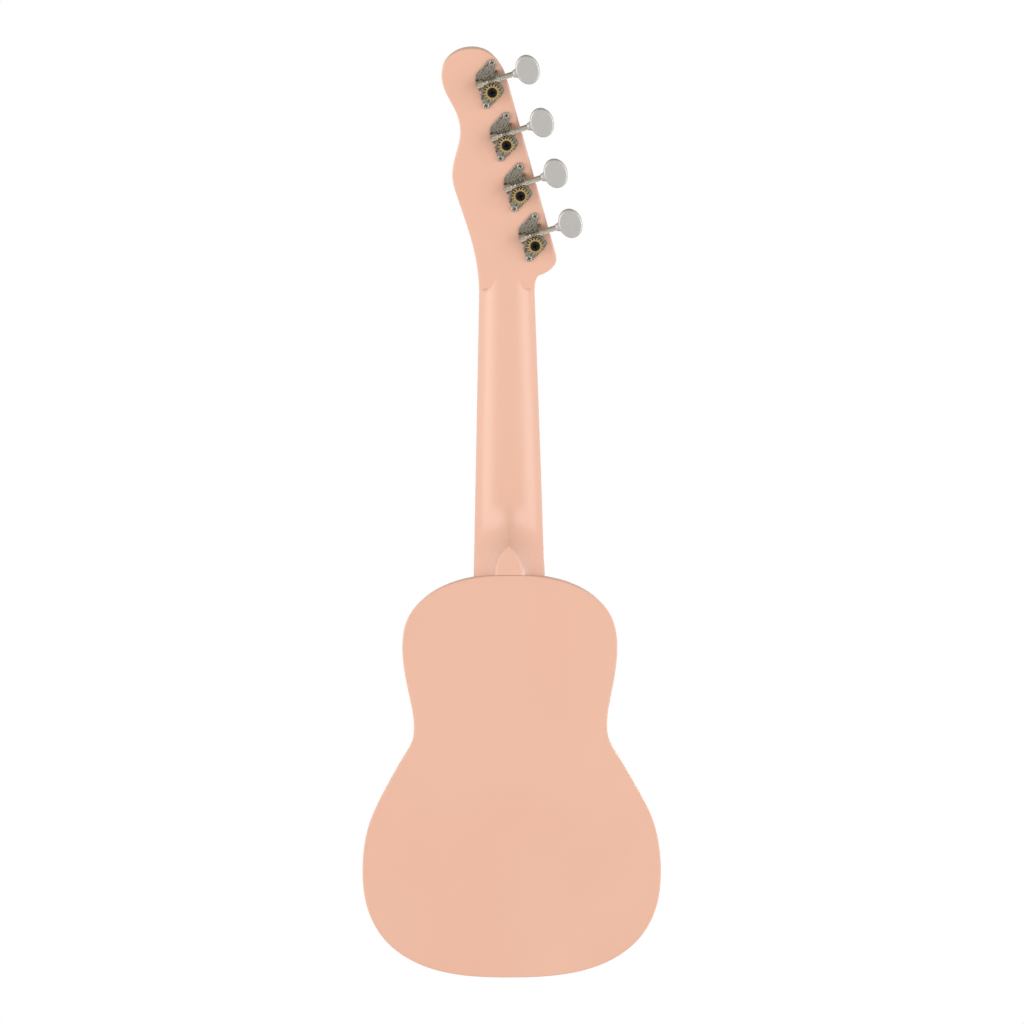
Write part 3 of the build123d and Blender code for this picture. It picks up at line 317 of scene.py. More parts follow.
def wood(name, colour, along, fibre, contrast, roughness, pore_depth=0.00002):
    """Wood with its grain along one axis: soft figure, fine fibre streaks and short dark pores."""
    finish = Finish(name, colour, roughness)
    grain = finish.stretched(along_grain(along, GRAIN_DRAW))
    figure_way = finish.stretched(along_grain(along, 0.22))
    fibres = finish.noise(grain, 1.0 / fibre, detail=5.0, roughness=0.62)
    figure = finish.noise(figure_way, 34.0, detail=3.0, distortion=0.8)
    pores = finish.noise(grain, PORES_PER_FIBRE / fibre, detail=2.0, roughness=0.4)
    pore_marks = finish.range(pores, 0.60, 0.70, 0.0, 1.0)
    streaks = finish.range(fibres, 0.32, 0.68, 0.0, 1.0)
    tone = finish.shade(streaks, darker(colour, 1.0 - contrast), colour)
    tone = finish.shade(
        finish.times(finish.range(figure, 0.35, 0.7, 0.0, 1.0), contrast * 2.0),
        tone, darker(colour, 0.90, 0.80, 0.72),
    )
    tone = finish.shade(finish.times(pore_marks, contrast * 2.6), tone, darker(colour, 0.55))
    finish.set("Base Color", tone)
    finish.set("Roughness", finish.range(fibres, 0.3, 0.7, roughness - 0.05, roughness + 0.07))
    height = finish.plus(finish.times(streaks, 0.35), finish.times(pore_marks, -1.0))
    finish.relief(height, pore_depth)
    return finish.material


def satin_paint(name, colour, along, fibre, roughness, coat):
    """Sprayed satin paint: soft drift of tone, fine mist, and the wood's pores just telling."""
    finish = Finish(name, colour, roughness)
    grain = finish.stretched(along_grain(along, GRAIN_DRAW))
    pores = finish.noise(grain, PORES_PER_FIBRE / fibre, detail=2.0, roughness=0.4)
    pore_marks = finish.range(pores, 0.60, 0.72, 0.0, 1.0)
    drift = finish.noise(finish.place, 8.0, detail=2.0, distortion=0.4)
    mist = finish.noise(finish.place, 3200.0, detail=3.0, roughness=0.6)
    pinker = darker(colour, 0.975, 0.945, 0.935)
    tone = finish.shade(finish.range(drift, 0.35, 0.65, 0.0, 1.0), colour, pinker)
    tone = finish.shade(finish.times(finish.range(mist, 0.35, 0.65, 0.0, 1.0), 0.35), tone, pinker)
    tone = finish.shade(finish.times(pore_marks, 0.07), tone, darker(colour, 0.72))
    finish.set("Base Color", tone)
    finish.set("Roughness", finish.range(mist, 0.3, 0.7, roughness - 0.05, roughness + 0.05))
    finish.relief(finish.plus(finish.times(mist, 0.5), finish.times(pore_marks, -0.8)), 0.000012)
    finish.set("Coat Weight", coat)
    finish.set("Coat Roughness", 0.30)
    return finish.material


def metal(name, colour, roughness, wear, scratch_depth=0.000004, grime_and_shade=0.0):
    """Plated or solid metal: cloudy tarnish, uneven polish, fine scratches, dirt and painted shade
    in its gaps.
    """
    finish = Finish(name, colour, roughness, metallic=1.0)
    cloud = finish.noise(finish.place, 420.0, detail=5.0, roughness=0.65)
    scratches = finish.noise(finish.stretched((1.0, 0.08, 0.35)), 5200.0, detail=2.0)
    tarnish = finish.range(cloud, 0.42, 0.68, 0.0, wear)
    tone = finish.shade(tarnish, colour, darker(colour, 0.52, 0.44, 0.34))
    if grime_and_shade:
        # Dirt and painted shade: gaps found by ambient occlusion are darkened towards near black.
        dirt_and_shade = finish.times(finish.crevice_shade(GEAR_GAP), grime_and_shade)
        tone = finish.shade(dirt_and_shade, tone, darker(colour, 0.10, 0.08, 0.06))
    finish.set("Base Color", tone)
    uneven = finish.plus(finish.times(cloud, 0.16), finish.times(scratches, 0.06))
    finish.set("Roughness", finish.plus(uneven, roughness - 0.11))
    finish.relief(scratches, scratch_depth)
    return finish.material


def engraved_plate(name, colour):
    """Aged plating over stamped lines and leaf scrolls, dark in the cuts, with painted shade in
    its gaps and corners.
    """
    finish = Finish(name, colour, 0.34, metallic=1.0)
    lines = finish.bands(finish.place, 430.0, 1.6, "Y")
    scrolls = finish.bands(finish.stretched((1.0, 1.0, 1.0), (0.0, 0.0, 0.9)), 190.0, 9.0, "X")
    cloud = finish.noise(finish.place, 900.0, detail=5.0, roughness=0.6)
    cuts = finish.range(lines, 0.25, 0.60, 0.8, 0.0)
    curls = finish.range(scrolls, 0.12, 0.38, 0.8, 0.0)
    depth = finish.plus(cuts, curls)
    stain_and_shade = finish.plus(finish.times(depth, 0.6), finish.range(cloud, 0.40, 0.72, 0.05, 0.5))
    # Painted shade: gaps and corners found by ambient occlusion are darkened.
    stain_and_shade = finish.plus(stain_and_shade, finish.times(finish.crevice_shade(PLATE_GAP), 0.6))
    stain_and_shade = finish.add("ShaderNodeClamp", {"Value": stain_and_shade}).outputs[0]
    finish.set("Base Color", finish.shade(stain_and_shade, colour, darker(colour, 0.16, 0.135, 0.10)))
    finish.set("Roughness", finish.range(stain_and_shade, 0.0, 1.0, 0.24, 0.55))
    finish.relief(finish.times(depth, -1.0), 0.00005)
    return finish.material


def pearl(name):
    """Shell with drifting pale bands."""
    finish = Finish(name, (0.86, 0.84, 0.80), 0.22)
    drift = finish.noise(finish.stretched((1.0, 1.0, 0.4)), 900.0, detail=3.0, distortion=2.0)
    cool = finish.shade(drift, (0.72, 0.78, 0.80), (0.92, 0.86, 0.80))
    finish.set("Base Color", cool)
    finish.relief(drift, 0.000005)
    finish.set("Coat Weight", 0.6)
    finish.set("Coat Roughness", 0.08)
    return finish.material


def cast_resin(name):
    """Off-white nut and saddle stock with faint lengthwise shading and fine file marks."""
    finish = Finish(name, (0.86, 0.82, 0.72), 0.38)
    drift = finish.noise(finish.stretched((0.25, 1.0, 1.0)), 380.0, detail=4.0)
    file_marks = finish.noise(finish.stretched((1.0, 0.05, 1.0)), 4200.0, detail=1.0)
    finish.set("Base Color", finish.shade(drift, (0.90, 0.87, 0.79), (0.77, 0.71, 0.58)))
    finish.set("Roughness", finish.range(file_marks, 0.3, 0.7, 0.32, 0.48))
    finish.relief(file_marks, 0.000006)
    finish.set("Subsurface Weight", 0.12)
    finish.set("Subsurface Scale", 0.002)
    return finish.material


def paper(name):
    """Aged label paper with loose fibres."""
    finish = Finish(name, (0.80, 0.74, 0.60), 0.85)
    fibres = finish.noise(finish.place, 2600.0, detail=3.0)
    ageing = finish.noise(finish.place, 60.0, detail=4.0)
    tone = finish.shade(ageing, (0.84, 0.79, 0.66), (0.70, 0.60, 0.43))
    loose = finish.range(fibres, 0.55, 0.7, 0.0, 0.25)
    finish.set("Base Color", finish.shade(loose, tone, (0.5, 0.42, 0.3)))
    finish.relief(fibres, 0.00003)
    return finish.material


def nylon(name, colour):
    """Slightly clear string, drawn smooth, with the faintest lengthwise lines."""
    finish = Finish(name, colour, 0.24)
    drawn = finish.noise(finish.stretched((1.0, 1.0, 0.02)), 5000.0, detail=2.0)
    finish.set("Base Color", finish.shade(drawn, darker(colour, 0.86), colour))
    finish.set("Roughness", finish.range(drawn, 0.3, 0.7, 0.18, 0.32))
    finish.set("Transmission Weight", 0.35)
    finish.set("IOR", 1.5)
    finish.relief(drawn, 0.000004)
    return finish.material


# ------------------------------------------------------------------ making and placing pieces
def dress(node, material):
    """Gives a frame node its finish."""
    piece = NODES[node]
    if not piece.material_slots:
        piece.data.materials.append(material)
    for place in piece.material_slots:
        place.material = material


def new_piece(name, points, faces, material, smooth_angle=35.0):
    """A mesh piece from points in millimetres, smooth but for edges sharper than the angle."""
    mesh = bpy.data.meshes.new(name)
    mesh.from_pydata([Vector(point) * MM for point in points], [], faces)
    mesh.validate()
    mesh.materials.append(material)
    mesh.polygons.foreach_set("use_smooth", [True] * len(mesh.polygons))
    mesh.set_sharp_from_angle(angle=radians(smooth_angle))
    piece = bpy.data.objects.new(name, mesh)
    bpy.context.scene.collection.objects.link(piece)
    return piece


def rings_to_faces(rings, around, first=0, close_start=True, close_end=True):
    """Faces that join equal rings of points in order, with flat ends."""
    faces = []
    for ring in range(rings - 1):
        low, high = first + ring * around, first + (ring + 1) * around
        for step in range(around):
            after = (step + 1) % around
            faces.append((low + step, low + after, high + after, high + step))
    if close_start:
        faces.append(tuple(first + step for step in reversed(range(around))))
    if close_end:
        last = first + (rings - 1) * around
        faces.append(tuple(last + step for step in range(around)))
    return faces


def tuner_matrix(number):
    """A tuner's own axes on the headstock's back: across to the button, along to the worm, out."""
    across, along = POST_PLACES[number - 1]
    head_up = Vector((0.0, -sin(HEAD_LEAN), cos(HEAD_LEAN)))
    outward = Vector((0.0, -cos(HEAD_LEAN), -sin(HEAD_LEAN)))
    towards_button = Vector((1.0, 0.0, 0.0)) * cos(SHAFT_TURN) + head_up * sin(SHAFT_TURN)
    towards_worm = outward.cross(towards_button)
    centre = HEAD_START + outward * HEAD_THICKNESS * MM
    centre = centre + Vector((across, 0.0, 0.0)) * MM + head_up * along * MM
    turned = Matrix((towards_button, towards_worm, outward)).transposed().to_4x4()
    return Matrix.Translation(centre) @ turned


def on_tuner(piece, number, body, slot, *nodes):
    """Places a piece on one tuner's axes, and lets it stand for the frame's own piece."""
    piece.matrix_world = tuner_matrix(number)
    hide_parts(*nodes)
    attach(piece, body)
    return piece


def copy_of(piece, name):
    """Another piece on the same mesh."""
    twin = bpy.data.objects.new(name, piece.data)
    bpy.context.scene.collection.objects.link(twin)
    return twin


def screw_head(radius, height, arm, base):
    """Points and faces of a domed screw head with a cross recess, standing on base."""
    around, rings = 96, 26
    points = []
    profile = [(radius * 0.97, 0.0), (radius, height * 0.25), (radius * 0.985, height * 0.55)]
    for ring in range(rings):
        share = 1.0 - ring / rings
        profile.append((radius * 0.95 * share, None))
    for reach, level in profile:
        for step in range(around):
            turn = 2 * pi * step / around
            across, along = reach * cos(turn), reach * sin(turn)
            if level is None:
                crown = height * (0.62 + 0.38 * sqrt(max(1.0 - (reach / radius) ** 2, 0.0)))
                near_arm = min(abs(across), abs(along))
                far_arm = max(abs(across), abs(along))
                inside = max(0.0, min(1.0, (arm * 0.22 - near_arm) / (arm * 0.07)))
                inside *= max(0.0, min(1.0, (arm - far_arm) / (arm * 0.18)))
                crown -= inside * height * 0.55
            else:
                crown = level
            points.append((across, along, base + crown))
    middle = len(points)
    points.append((0.0, 0.0, base + height * 0.45))
    faces = rings_to_faces(len(profile), around, close_end=False)
    last = (len(profile) - 1) * around
    faces += [(last + step, last + (step + 1) % around, middle) for step in range(around)]
    return points, faces


def shade_recess(piece, places, arm, material):
    """Gives the cut of each cross recess a near-black material: painted shade in the recess."""
    piece.data.materials.append(material)
    for polygon in piece.data.polygons:
        for across, along in places:
            side = abs(polygon.center.x / MM - across)
            rise = abs(polygon.center.y / MM - along)
            if min(side, rise) < arm * 0.19 and max(side, rise) < arm * 0.93:
                polygon.material_index = 1


# ------------------------------------------------------------------ operators
class UKULELE_OT_body(bpy.types.Operator):
    """Finish the back, the top, the ribs and the neck in pale pink satin paint"""

    bl_idname = "ukulele.body"
    bl_label = "Body and Neck"

    def execute(self, context):
        colours, sizes = context.scene.ukulele_colours, context.scene.ukulele_sizes
        pink, fibre = colours.body_paint, sizes.fibre_width
        body = satin_paint("Body paint", pink, UPRIGHT, fibre, 0.45, 0.15)
        neck = satin_paint("Neck paint", pink, UPRIGHT, fibre * 1.15, 0.40, 0.25)
        for node in ("back", "top", "rib_bass", "rib_treble"):
            dress(node, body)
        dress("neck", neck)
        return {"FINISHED"}


class UKULELE_OT_inside(bpy.types.Operator):
    """Finish the blocks, linings, braces, dowel, bridge plate and label inside the body"""

    bl_idname = "ukulele.inside"
    bl_label = "Inner Wood and Label"

    def execute(self, context):
        colours, sizes = context.scene.ukulele_colours, context.scene.ukulele_sizes
        bare, fibre = colours.inner_wood, sizes.fibre_width
        upright = wood("Inner wood upright", bare, UPRIGHT, fibre, 0.10, 0.72, 0.00004)
        level = wood("Inner wood level", bare, LEVEL, fibre, 0.10, 0.72, 0.00004)
        for node in ("neck_block", "tail_block", "back_lining", "top_lining", "neck_dowel"):
            dress(node, upright)
        for node in ("back_braces", "top_braces", "bridge_plate"):
            dress(node, level)
        dress("label", paper("Label paper"))
        return {"FINISHED"}


class UKULELE_OT_fingerboard(bpy.types.Operator):
    """Finish the fingerboard with its frets and markers, and the nut, bridge and saddle"""

    bl_idname = "ukulele.fingerboard"
    bl_label = "Fingerboard and Bridge"

    def execute(self, context):
        colours, sizes = context.scene.ukulele_colours, context.scene.ukulele_sizes
        dark, fibre = colours.dark_wood, sizes.fibre_width * 0.7
        dress("fingerboard", wood("Fingerboard wood", dark, UPRIGHT, fibre, 0.30, 0.48))
        dress("bridge", wood("Bridge wood", dark, LEVEL, fibre, 0.30, 0.46))
        dress("frets", metal("Fret wire", (0.72, 0.70, 0.65), 0.24, 0.25))
        shell = pearl("Marker shell")
        for node in ("fret_markers", "side_markers"):
            dress(node, shell)
        resin = cast_resin("Nut and saddle")
        for node in ("nut", "saddle"):
            dress(node, resin)
        return {"FINISHED"}


class UKULELE_OT_strings(bpy.types.Operator):
    """Finish the four strings, and wind each one round its post and through the post's hole"""

    bl_idname = "ukulele.strings"
    bl_label = "Strings"

    def execute(self, context):
        colours, sizes = context.scene.ukulele_colours, context.scene.ukulele_sizes
        material = nylon("String nylon", colours.string_nylon)
        for number, letter in zip(TUNERS, STRINGS):
            dress(f"string_{letter}", material)
            thickness = STRING_THICKNESS[number - 1]
            name, post = f"string_{letter}_turns", f"tuner_{number}_string_post"
            winding = self.winding(name, thickness, sizes.string_turns, material)
            on_tuner(winding, number, post, "string_nylon", f"string_{letter}_winding")
        return {"FINISHED"}

    def winding(self, name, thickness, turns, material):
        """A coil that starts beside the string, climbs the post and ends through its hole."""
        start = -HEAD_THICKNESS - WINDING_START
        lift = thickness * 1.03
        radius = POST_RADIUS + thickness * 0.52
        path = []
        for step in range(turns * WINDING_STEPS + 1):
            turn = 2 * pi * step / WINDING_STEPS
            rise = start - lift * step / WINDING_STEPS
            path.append(Vector((radius * cos(turn), radius * sin(turn), rise)))
        top = start - lift * turns
        hole = -HEAD_THICKNESS - STRING_HOLE_HEIGHT
        for step in range(1, WINDING_CLIMB_STEPS + 1):
            share = step / WINDING_CLIMB_STEPS
            turn = pi / 2 * share
            rise = top + (hole - top) * (share * share * (3 - 2 * share))
            path.append(Vector((radius * cos(turn), radius * sin(turn), rise)))
        for reach in STRING_END:
            path.append(Vector((0.0, reach, hole)))
        return tube(name, path, thickness / 2, material)


def tube(name, path, radius, material, around=16):
    """A round bar along a path, turned as little as it can be from ring to ring."""
    points = []
    side = Vector((0.0, 0.0, 1.0))
    for index, centre in enumerate(path):
        before, after = path[max(index - 1, 0)], path[min(index + 1, len(path) - 1)]
        ahead = (after - before).normalized()
        side = (side - ahead * side.dot(ahead)).normalized()
        up = ahead.cross(side)
        for step in range(around):
            turn = 2 * pi * step / around
            points.append(centre + (side * cos(turn) + up * sin(turn)) * radius)
    return new_piece(name, points, rings_to_faces(len(path), around), material)


class UKULELE_OT_plates(bpy.types.Operator):
    """Make the engraved tuner plates with their curled bearing lugs, and the small plate screws"""

    bl_idname = "ukulele.plates"
    bl_label = "Tuner Plates"

    def execute(self, context):
        colours, sizes = context.scene.ukulele_colours, context.scene.ukulele_sizes
        engraved = engraved_plate("Engraved plate", darker(colours.plate_metal, 0.86))
        # The last number darkens the plate's gaps with dirt and painted shade.
        plain = metal("Plate plain", colours.plate_metal, 0.22, 0.6, grime_and_shade=0.6)
        first = self.plate(engraved, plain, sizes.plate_edge)
        for number in TUNERS:
            piece = first if number == 1 else copy_of(first, f"tuner_{number}_engraved_plate")
            on_tuner(piece, number, "root", "plated_metal", f"tuner_{number}_plate")
        screws = self.screws(metal("Plate screws", colours.screw_metal, 0.34, 0.35))
        for number in TUNERS:
            piece = screws if number == 1 else copy_of(screws, f"tuner_{number}_plate_screws")
            on_tuner(piece, number, "root", "plated_metal", "plate_screws")
        return {"FINISHED"}

    def plate(self, engraved, plain, edge):
        """The stamped blank, cut out flat with its edge rounded, joined with ears and lugs."""
        blank = bpy.data.curves.new("Plate blank", "CURVE")
        blank.dimensions = "2D"
        blank.fill_mode = "BOTH"
        blank.extrude = PLATE_THICKNESS * MM / 2 - edge
        blank.bevel_depth = edge
        blank.bevel_resolution = 3
        blank.offset = -edge
        turns = [2 * pi * step / 48 for step in range(48)]
        hole = [(PLATE_HOLE_RADIUS * cos(turn), PLATE_HOLE_RADIUS * sin(turn)) for turn in turns]
        for line in (softened(PLATE_OUTLINE, 0.55), hole):
            spline = blank.splines.new("POLY")
            spline.points.add(len(line) - 1)
            for point, (across, along) in zip(spline.points, line):
                point.co = (across * MM, along * MM, 0.0, 1.0)
            spline.use_cyclic_u = True
        shape = bpy.data.objects.new("Plate blank", blank)
        bpy.context.scene.collection.objects.link(shape)
        bpy.context.view_layer.update()
        evaluated = shape.evaluated_get(bpy.context.evaluated_depsgraph_get())
        flat = bpy.data.meshes.new_from_object(evaluated)
        middle = Vector((0.0, 0.0, PLATE_THICKNESS / 2))
        points = [vertex.co / MM + middle for vertex in flat.vertices]
        faces = [tuple(polygon.vertices) for polygon in flat.polygons]
        bpy.data.objects.remove(shape)
        engraved_faces = len(faces)
        for across, along in PLATE_SCREWS:
            self.ear(points, faces, across, along)
        for start, width, hole, slope in LUGS:
            self.lug(points, faces, start, width, hole, slope)
        piece = new_piece("tuner_1_engraved_plate", points, faces, engraved)
        piece.data.materials.append(plain)
        for index, polygon in enumerate(piece.data.polygons):
            polygon.material_index = 0 if index < engraved_faces else 1
        return piece

    def ear(self, points, faces, across, along):
        """A round seat for a plate screw, a little proud of the plate."""
        profile = (
            (PLATE_EAR_RADIUS, 0.0), (PLATE_EAR_RADIUS, 0.85), (PLATE_EAR_RADIUS - 0.12, 1.05),
            (PLATE_EAR_RADIUS - 0.35, 1.1), (PLATE_EAR_RADIUS - 0.6, 1.0),
        )
        around, first = 40, len(points)
        for reach, level in profile:
            for step in range(around):
                turn = 2 * pi * step / around
                place = (across + reach * cos(turn), along + reach * sin(turn), level)
                points.append(Vector(place))
        faces.extend(rings_to_faces(len(profile), around, first))

    def lug(self, points, faces, start, width, hole, slope):
        """A strap that slopes up out of the plate, over the shaft and down beside the wheel."""
        foot = PLATE_THICKNESS * 0.6
        section = [(LUG_RADIUS + slope, foot), (LUG_RADIUS + slope * 0.95, PLATE_THICKNESS + 0.15)]
        section += [
            (LUG_RADIUS * cos(pi * step / 24), SHAFT_HEIGHT + LUG_RADIUS * sin(pi * step / 24))
            for step in range(4, 25)
        ]
        section.append((-LUG_RADIUS, foot))
        inside = [(-hole, foot)]
        inside += [
            (hole * cos(pi * step / 24), SHAFT_HEIGHT + hole * sin(pi * step / 24))
            for step in range(24, -1, -1)
        ]
        inside.append((hole, foot))
        around = len(section) + len(inside)
        first = len(points)
        for across, draw_in in ((0.0, 0.22), (0.22, 0.0), (width - 0.22, 0.0), (width, 0.22)):
            shrink = 1.0 - draw_in / LUG_RADIUS
            for along, up in section:
                points.append(Vector((
                    start + across,
                    SHAFT_ACROSS_PLATE + along * shrink,
                    SHAFT_HEIGHT + (up - SHAFT_HEIGHT) * shrink if up > foot else up,
                )))
            for along, up in inside:
                points.append(Vector((start + across, SHAFT_ACROSS_PLATE + along, up)))
        faces.extend(rings_to_faces(4, around, first))

    def screws(self, material):
        """Both plate screws of one tuner."""
        points, faces = [], []
        for across, along in PLATE_SCREWS:
            head_points, head_faces = screw_head(
                SCREW_HEAD_RADIUS, SCREW_HEAD_HEIGHT, PLATE_SCREW_ARM, PLATE_THICKNESS
            )
            first = len(points)
            points += [(x + across, y + along, z) for x, y, z in head_points]
            faces += [tuple(first + corner for corner in face) for face in head_faces]
        piece = new_piece("tuner_1_plate_screws", points, faces, material)
        # Painted shade: the plate screws' cross recesses get a near-black material.
        recess = metal("Plate screw recess shade", (0.10, 0.09, 0.07), 0.6, 0.5)
        shade_recess(piece, PLATE_SCREWS, PLATE_SCREW_ARM, recess)
        return piece


def softened(corners, cut, steps=4):
    """The same outline with each corner rounded off over this length."""
    line = []
    count = len(corners)
    for index, corner in enumerate(corners):
        here = Vector(corner)
        back = Vector(corners[index - 1]) - here
        ahead = Vector(corners[(index + 1) % count]) - here
        start = here + back.normalized() * min(cut, back.length * 0.45)
        end = here + ahead.normalized() * min(cut, ahead.length * 0.45)
        for step in range(steps + 1):
            share = step / steps
            inward = start * (1 - share) + here * share
            onward = here * (1 - share) + end * share
            line.append(inward * (1 - share) + onward * share)
    return [tuple(point) for point in line]


class UKULELE_OT_gears(bpy.types.Operator):
    """Finish the worm shafts, toothed wheels, posts and bushings, and make the wheels' screws"""

    bl_idname = "ukulele.gears"
    bl_label = "Tuner Gears"

    def execute(self, context):
        colours = context.scene.ukulele_colours
        # The last numbers darken the gaps of shafts and wheels with dirt and painted shade.
        plated = metal("Plated shaft", colours.plate_metal, 0.22, 0.4, grime_and_shade=0.45)
        brass = metal("Wheel brass", colours.brass, 0.28, 0.45, grime_and_shade=0.9)
        black = metal("Black screw", (0.030, 0.028, 0.027), 0.40, 0.5)
        dress("post_bushings", plated)
        for number in TUNERS:
            dress(f"tuner_{number}_worm_shaft", plated)
            dress(f"tuner_{number}_post", plated)
            dress(f"tuner_{number}_worm_wheel", brass)
        points, faces = screw_head(
            WHEEL_SCREW_RADIUS, WHEEL_SCREW_HEIGHT, WHEEL_SCREW_ARM, WHEEL_TOP
        )
        first = new_piece("tuner_1_cross_screw", points, faces, black)
        # Painted shade: the wheel screw's cross recess gets a near-black material.
        recess = metal("Black screw recess shade", (0.006, 0.006, 0.006), 0.7, 0.3)
        shade_recess(first, ((0.0, 0.0),), WHEEL_SCREW_ARM, recess)
        for number in TUNERS:
            piece = first if number == 1 else copy_of(first, f"tuner_{number}_cross_screw")
            post, screw = f"tuner_{number}_string_post", f"tuner_{number}_wheel_screw"
            on_tuner(piece, number, post, "black_screw", screw)
        return {"FINISHED"}


class UKULELE_OT_buttons(bpy.types.Operator):
    """Make the four oval cast buttons with their flared stems"""

    bl_idname = "ukulele.buttons"
    bl_label = "Tuner Buttons"

    def execute(self, context):
        colours, sizes = context.scene.ukulele_colours, context.scene.ukulele_sizes
        satin = metal("Button metal", colours.button_metal, 0.58, 0.08, 0.000002)
        first = self.button(satin, sizes.button_edge / MM)
        for number in TUNERS:
            piece = first if number == 1 else copy_of(first, f"tuner_{number}_oval_button")
            worm, button = f"tuner_{number}_worm", f"tuner_{number}_button"
            on_tuner(piece, number, worm, "button_metal", button)
        return {"FINISHED"}

    def button(self, material, edge):
        """An oval pad with soft edges and nearly flat faces, and the stem that flares into it."""
        around = 96
        profile = []
        for share in (0.15, 0.35, 0.55, 0.72, 0.86):
            reach = share * (1.0 - edge / BUTTON_HALF_WIDTH)
            profile.append((reach, 1.0 - BUTTON_CROWN * share * share))
        faces_end = profile[-1][1]
        for step in range(9):
            turn = pi / 2 * step / 8
            inset = edge * (1 - sin(turn))
            drop = edge * (1 - cos(turn)) / BUTTON_HALF_THICKNESS
            profile.append((1.0 - inset / BUTTON_HALF_WIDTH, faces_end - drop))
        mirrored = [(reach, -level) for reach, level in reversed(profile)]
        centre = Vector((BUTTON_CENTRE, SHAFT_ACROSS_PLATE, SHAFT_HEIGHT))
        half_through = Vector((0.0, 0.0, BUTTON_HALF_THICKNESS))
        points = [centre + half_through]
        rows = profile + mirrored
        for reach, level in rows:
            for step in range(around):
                turn = 2 * pi * step / around
                points.append(Vector((
                    BUTTON_CENTRE + BUTTON_HALF_WIDTH * reach * cos(turn),
                    SHAFT_ACROSS_PLATE + BUTTON_HALF_LENGTH * reach * sin(turn),
                    SHAFT_HEIGHT + BUTTON_HALF_THICKNESS * level,
                )))
        faces = [(0, 1 + step, 1 + (step + 1) % around) for step in range(around)]
        for face in rings_to_faces(len(rows), around, 1, close_start=False, close_end=False):
            faces.append(tuple(reversed(face)))
        bottom = len(points)
        points.append(centre - half_through)
        last = 1 + (len(rows) - 1) * around
        faces += [(last + (step + 1) % around, last + step, bottom) for step in range(around)]
        self.stem(points, faces)
        return new_piece("tuner_1_oval_button", points, faces, material, 50.0)

    def stem(self, points, faces):
        """Round at the shaft, then wider along the button's face and thinner across it."""
        around, first = 40, len(points)
        for across, half_along, half_up in STEM_STATIONS:
            for step in range(around):
                turn = 2 * pi * step / around
                points.append(Vector((
                    across,
                    SHAFT_ACROSS_PLATE + half_along * cos(turn),
                    SHAFT_HEIGHT + half_up * sin(turn),
                )))
        faces.extend(rings_to_faces(len(STEM_STATIONS), around, first))


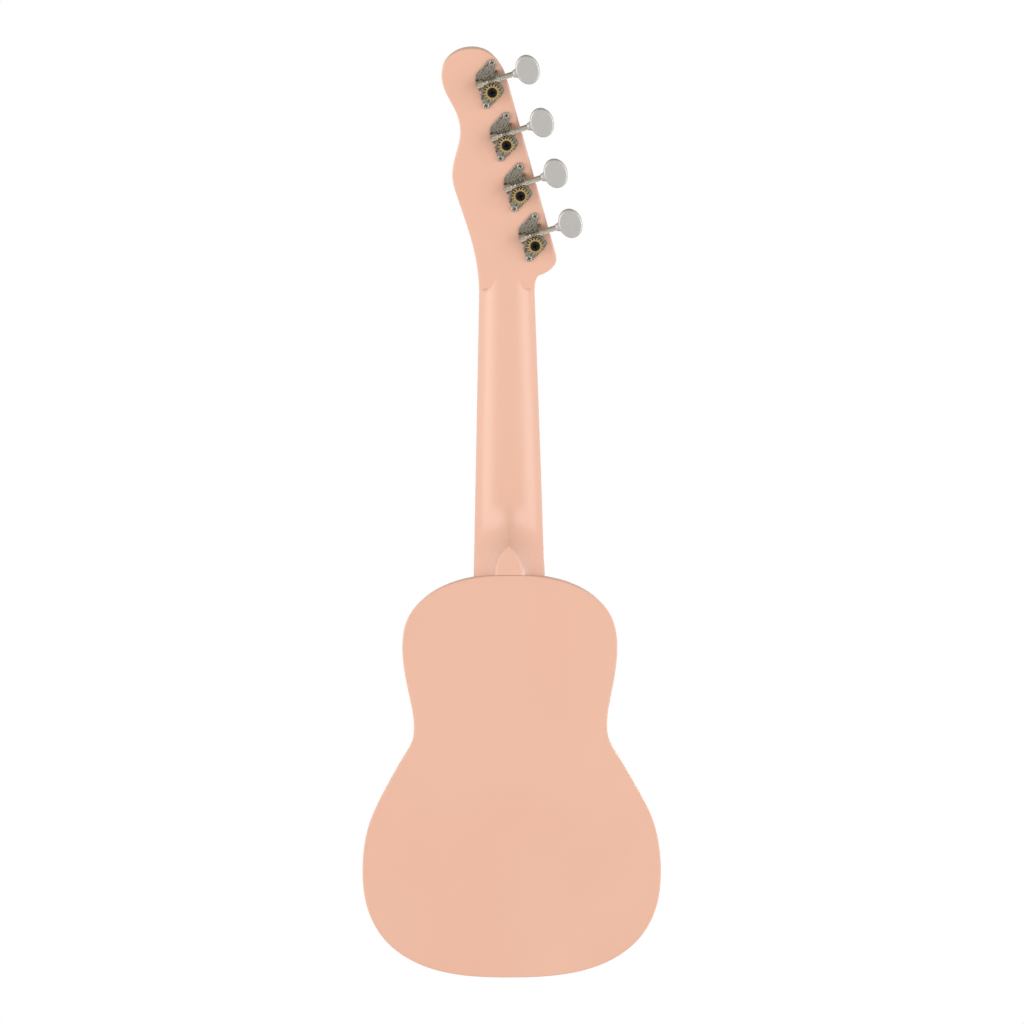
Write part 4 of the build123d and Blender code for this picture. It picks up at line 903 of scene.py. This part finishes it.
class UKULELE_OT_stage(bpy.types.Operator):
    """Set out the pale floor, the soft light and the camera straight behind the instrument"""

    bl_idname = "ukulele.stage"
    bl_label = "Stage"

    def execute(self, context):
        scene = context.scene
        scene.view_settings.view_transform = "Standard"
        self.surroundings(scene)
        self.floor()
        for box in SOFTBOXES:
            self.softbox(*box)
        camera = bpy.data.cameras.new("Camera")
        camera.sensor_width = CAMERA_SENSOR
        camera.lens = CAMERA_LENS
        camera.clip_start, camera.clip_end = CAMERA_NEAR, CAMERA_FAR
        stand = bpy.data.objects.new("Camera", camera)
        stand.location = CAMERA_PLACE
        stand.rotation_euler = (radians(90.0), CAMERA_ROLL, 0.0)
        scene.collection.objects.link(stand)
        scene.camera = stand
        return {"FINISHED"}

    def surroundings(self, scene):
        """A white backdrop, in a room that is bright around its walls and dim above and below."""
        world = bpy.data.worlds.new("White surroundings")
        world.use_nodes = True
        tree = world.node_tree
        room = next(node for node in tree.nodes if node.type == "BACKGROUND")
        output = next(node for node in tree.nodes if node.type == "OUTPUT_WORLD")
        way = tree.nodes.new("ShaderNodeTexCoord")
        parts = tree.nodes.new("ShaderNodeSeparateXYZ")
        steepness = tree.nodes.new("ShaderNodeMath")
        steepness.operation = "ABSOLUTE"
        walls = tree.nodes.new("ShaderNodeMapRange")
        walls.inputs["To Min"].default_value = WALL_LIGHT
        walls.inputs["To Max"].default_value = CEILING_LIGHT
        backdrop = tree.nodes.new("ShaderNodeBackground")
        backdrop.inputs["Color"].default_value = (1.0, 1.0, 1.0, 1.0)
        room.inputs["Color"].default_value = (1.0, 1.0, 1.0, 1.0)
        rays = tree.nodes.new("ShaderNodeLightPath")
        choice = tree.nodes.new("ShaderNodeMixShader")
        tree.links.new(way.outputs["Generated"], parts.inputs["Vector"])
        tree.links.new(parts.outputs["Z"], steepness.inputs[0])
        tree.links.new(steepness.outputs[0], walls.inputs["Value"])
        tree.links.new(walls.outputs["Result"], room.inputs["Strength"])
        tree.links.new(rays.outputs["Is Camera Ray"], choice.inputs[0])
        tree.links.new(room.outputs[0], choice.inputs[1])
        tree.links.new(backdrop.outputs[0], choice.inputs[2])
        tree.links.new(choice.outputs[0], output.inputs["Surface"])
        scene.world = world

    def floor(self):
        """A pale painted floor, far enough down for the instrument to hang clear of it."""
        finish = Finish("Floor paint", (0.90, 0.90, 0.89), 0.7)
        drift = finish.noise(finish.place, 6.0)
        finish.set("Base Color", finish.shade(drift, (0.92, 0.92, 0.91), (0.88, 0.88, 0.87)))
        finish.set("Emission Color", (1.0, 1.0, 0.99, 1.0))
        finish.set("Emission Strength", FLOOR_GLOW)
        mesh = bpy.data.meshes.new("floor")
        corners = ((-1, -1), (1, -1), (1, 1), (-1, 1))
        points = [(x * FLOOR_HALF_WIDTH, y * FLOOR_HALF_WIDTH, FLOOR_LEVEL) for x, y in corners]
        mesh.from_pydata(points, [], [(0, 1, 2, 3)])
        mesh.materials.append(finish.material)
        floor = bpy.data.objects.new("floor", mesh)
        bpy.context.scene.collection.objects.link(floor)

    def softbox(self, name, place, size, power):
        """A broad light that faces the instrument's middle."""
        light = bpy.data.lights.new(name, "AREA")
        light.shape = "RECTANGLE"
        light.size, light.size_y = size
        light.energy = power
        stand = bpy.data.objects.new(name, light)
        stand.location = place
        middle = (FRAME_LOW + FRAME_HIGH) / 2
        stand.rotation_euler = (middle - Vector(place)).to_track_quat("-Z", "Y").to_euler()
        bpy.context.scene.collection.objects.link(stand)


STEPS = (
    UKULELE_OT_body, UKULELE_OT_inside, UKULELE_OT_fingerboard, UKULELE_OT_strings,
    UKULELE_OT_plates, UKULELE_OT_gears, UKULELE_OT_buttons, UKULELE_OT_stage,
)


class UKULELE_PT_panel(bpy.types.Panel):
    """The ukulele's colours and sizes, and the steps that finish it"""

    bl_idname = "UKULELE_PT_panel"
    bl_label = "Ukulele"
    bl_space_type = "VIEW_3D"
    bl_region_type = "UI"
    bl_category = "Ukulele"

    def draw(self, context):
        for group in (context.scene.ukulele_colours, context.scene.ukulele_sizes):
            box = self.layout.box()
            for name in group.__annotations__:
                box.prop(group, name)
        for step in STEPS:
            self.layout.operator(step.bl_idname)


CLASSES = (UkuleleColours, UkuleleSizes, *STEPS, UKULELE_PT_panel)


def register():
    for new_class in CLASSES:
        bpy.utils.register_class(new_class)
    bpy.types.Scene.ukulele_colours = PointerProperty(type=UkuleleColours)
    bpy.types.Scene.ukulele_sizes = PointerProperty(type=UkuleleSizes)


def unregister():
    del bpy.types.Scene.ukulele_sizes
    del bpy.types.Scene.ukulele_colours
    for old_class in reversed(CLASSES):
        bpy.utils.unregister_class(old_class)


def main():
    register()
    for step in STEPS:
        group, name = step.bl_idname.split(".")
        getattr(getattr(bpy.ops, group), name)()


if __name__ == "__main__":
    main()
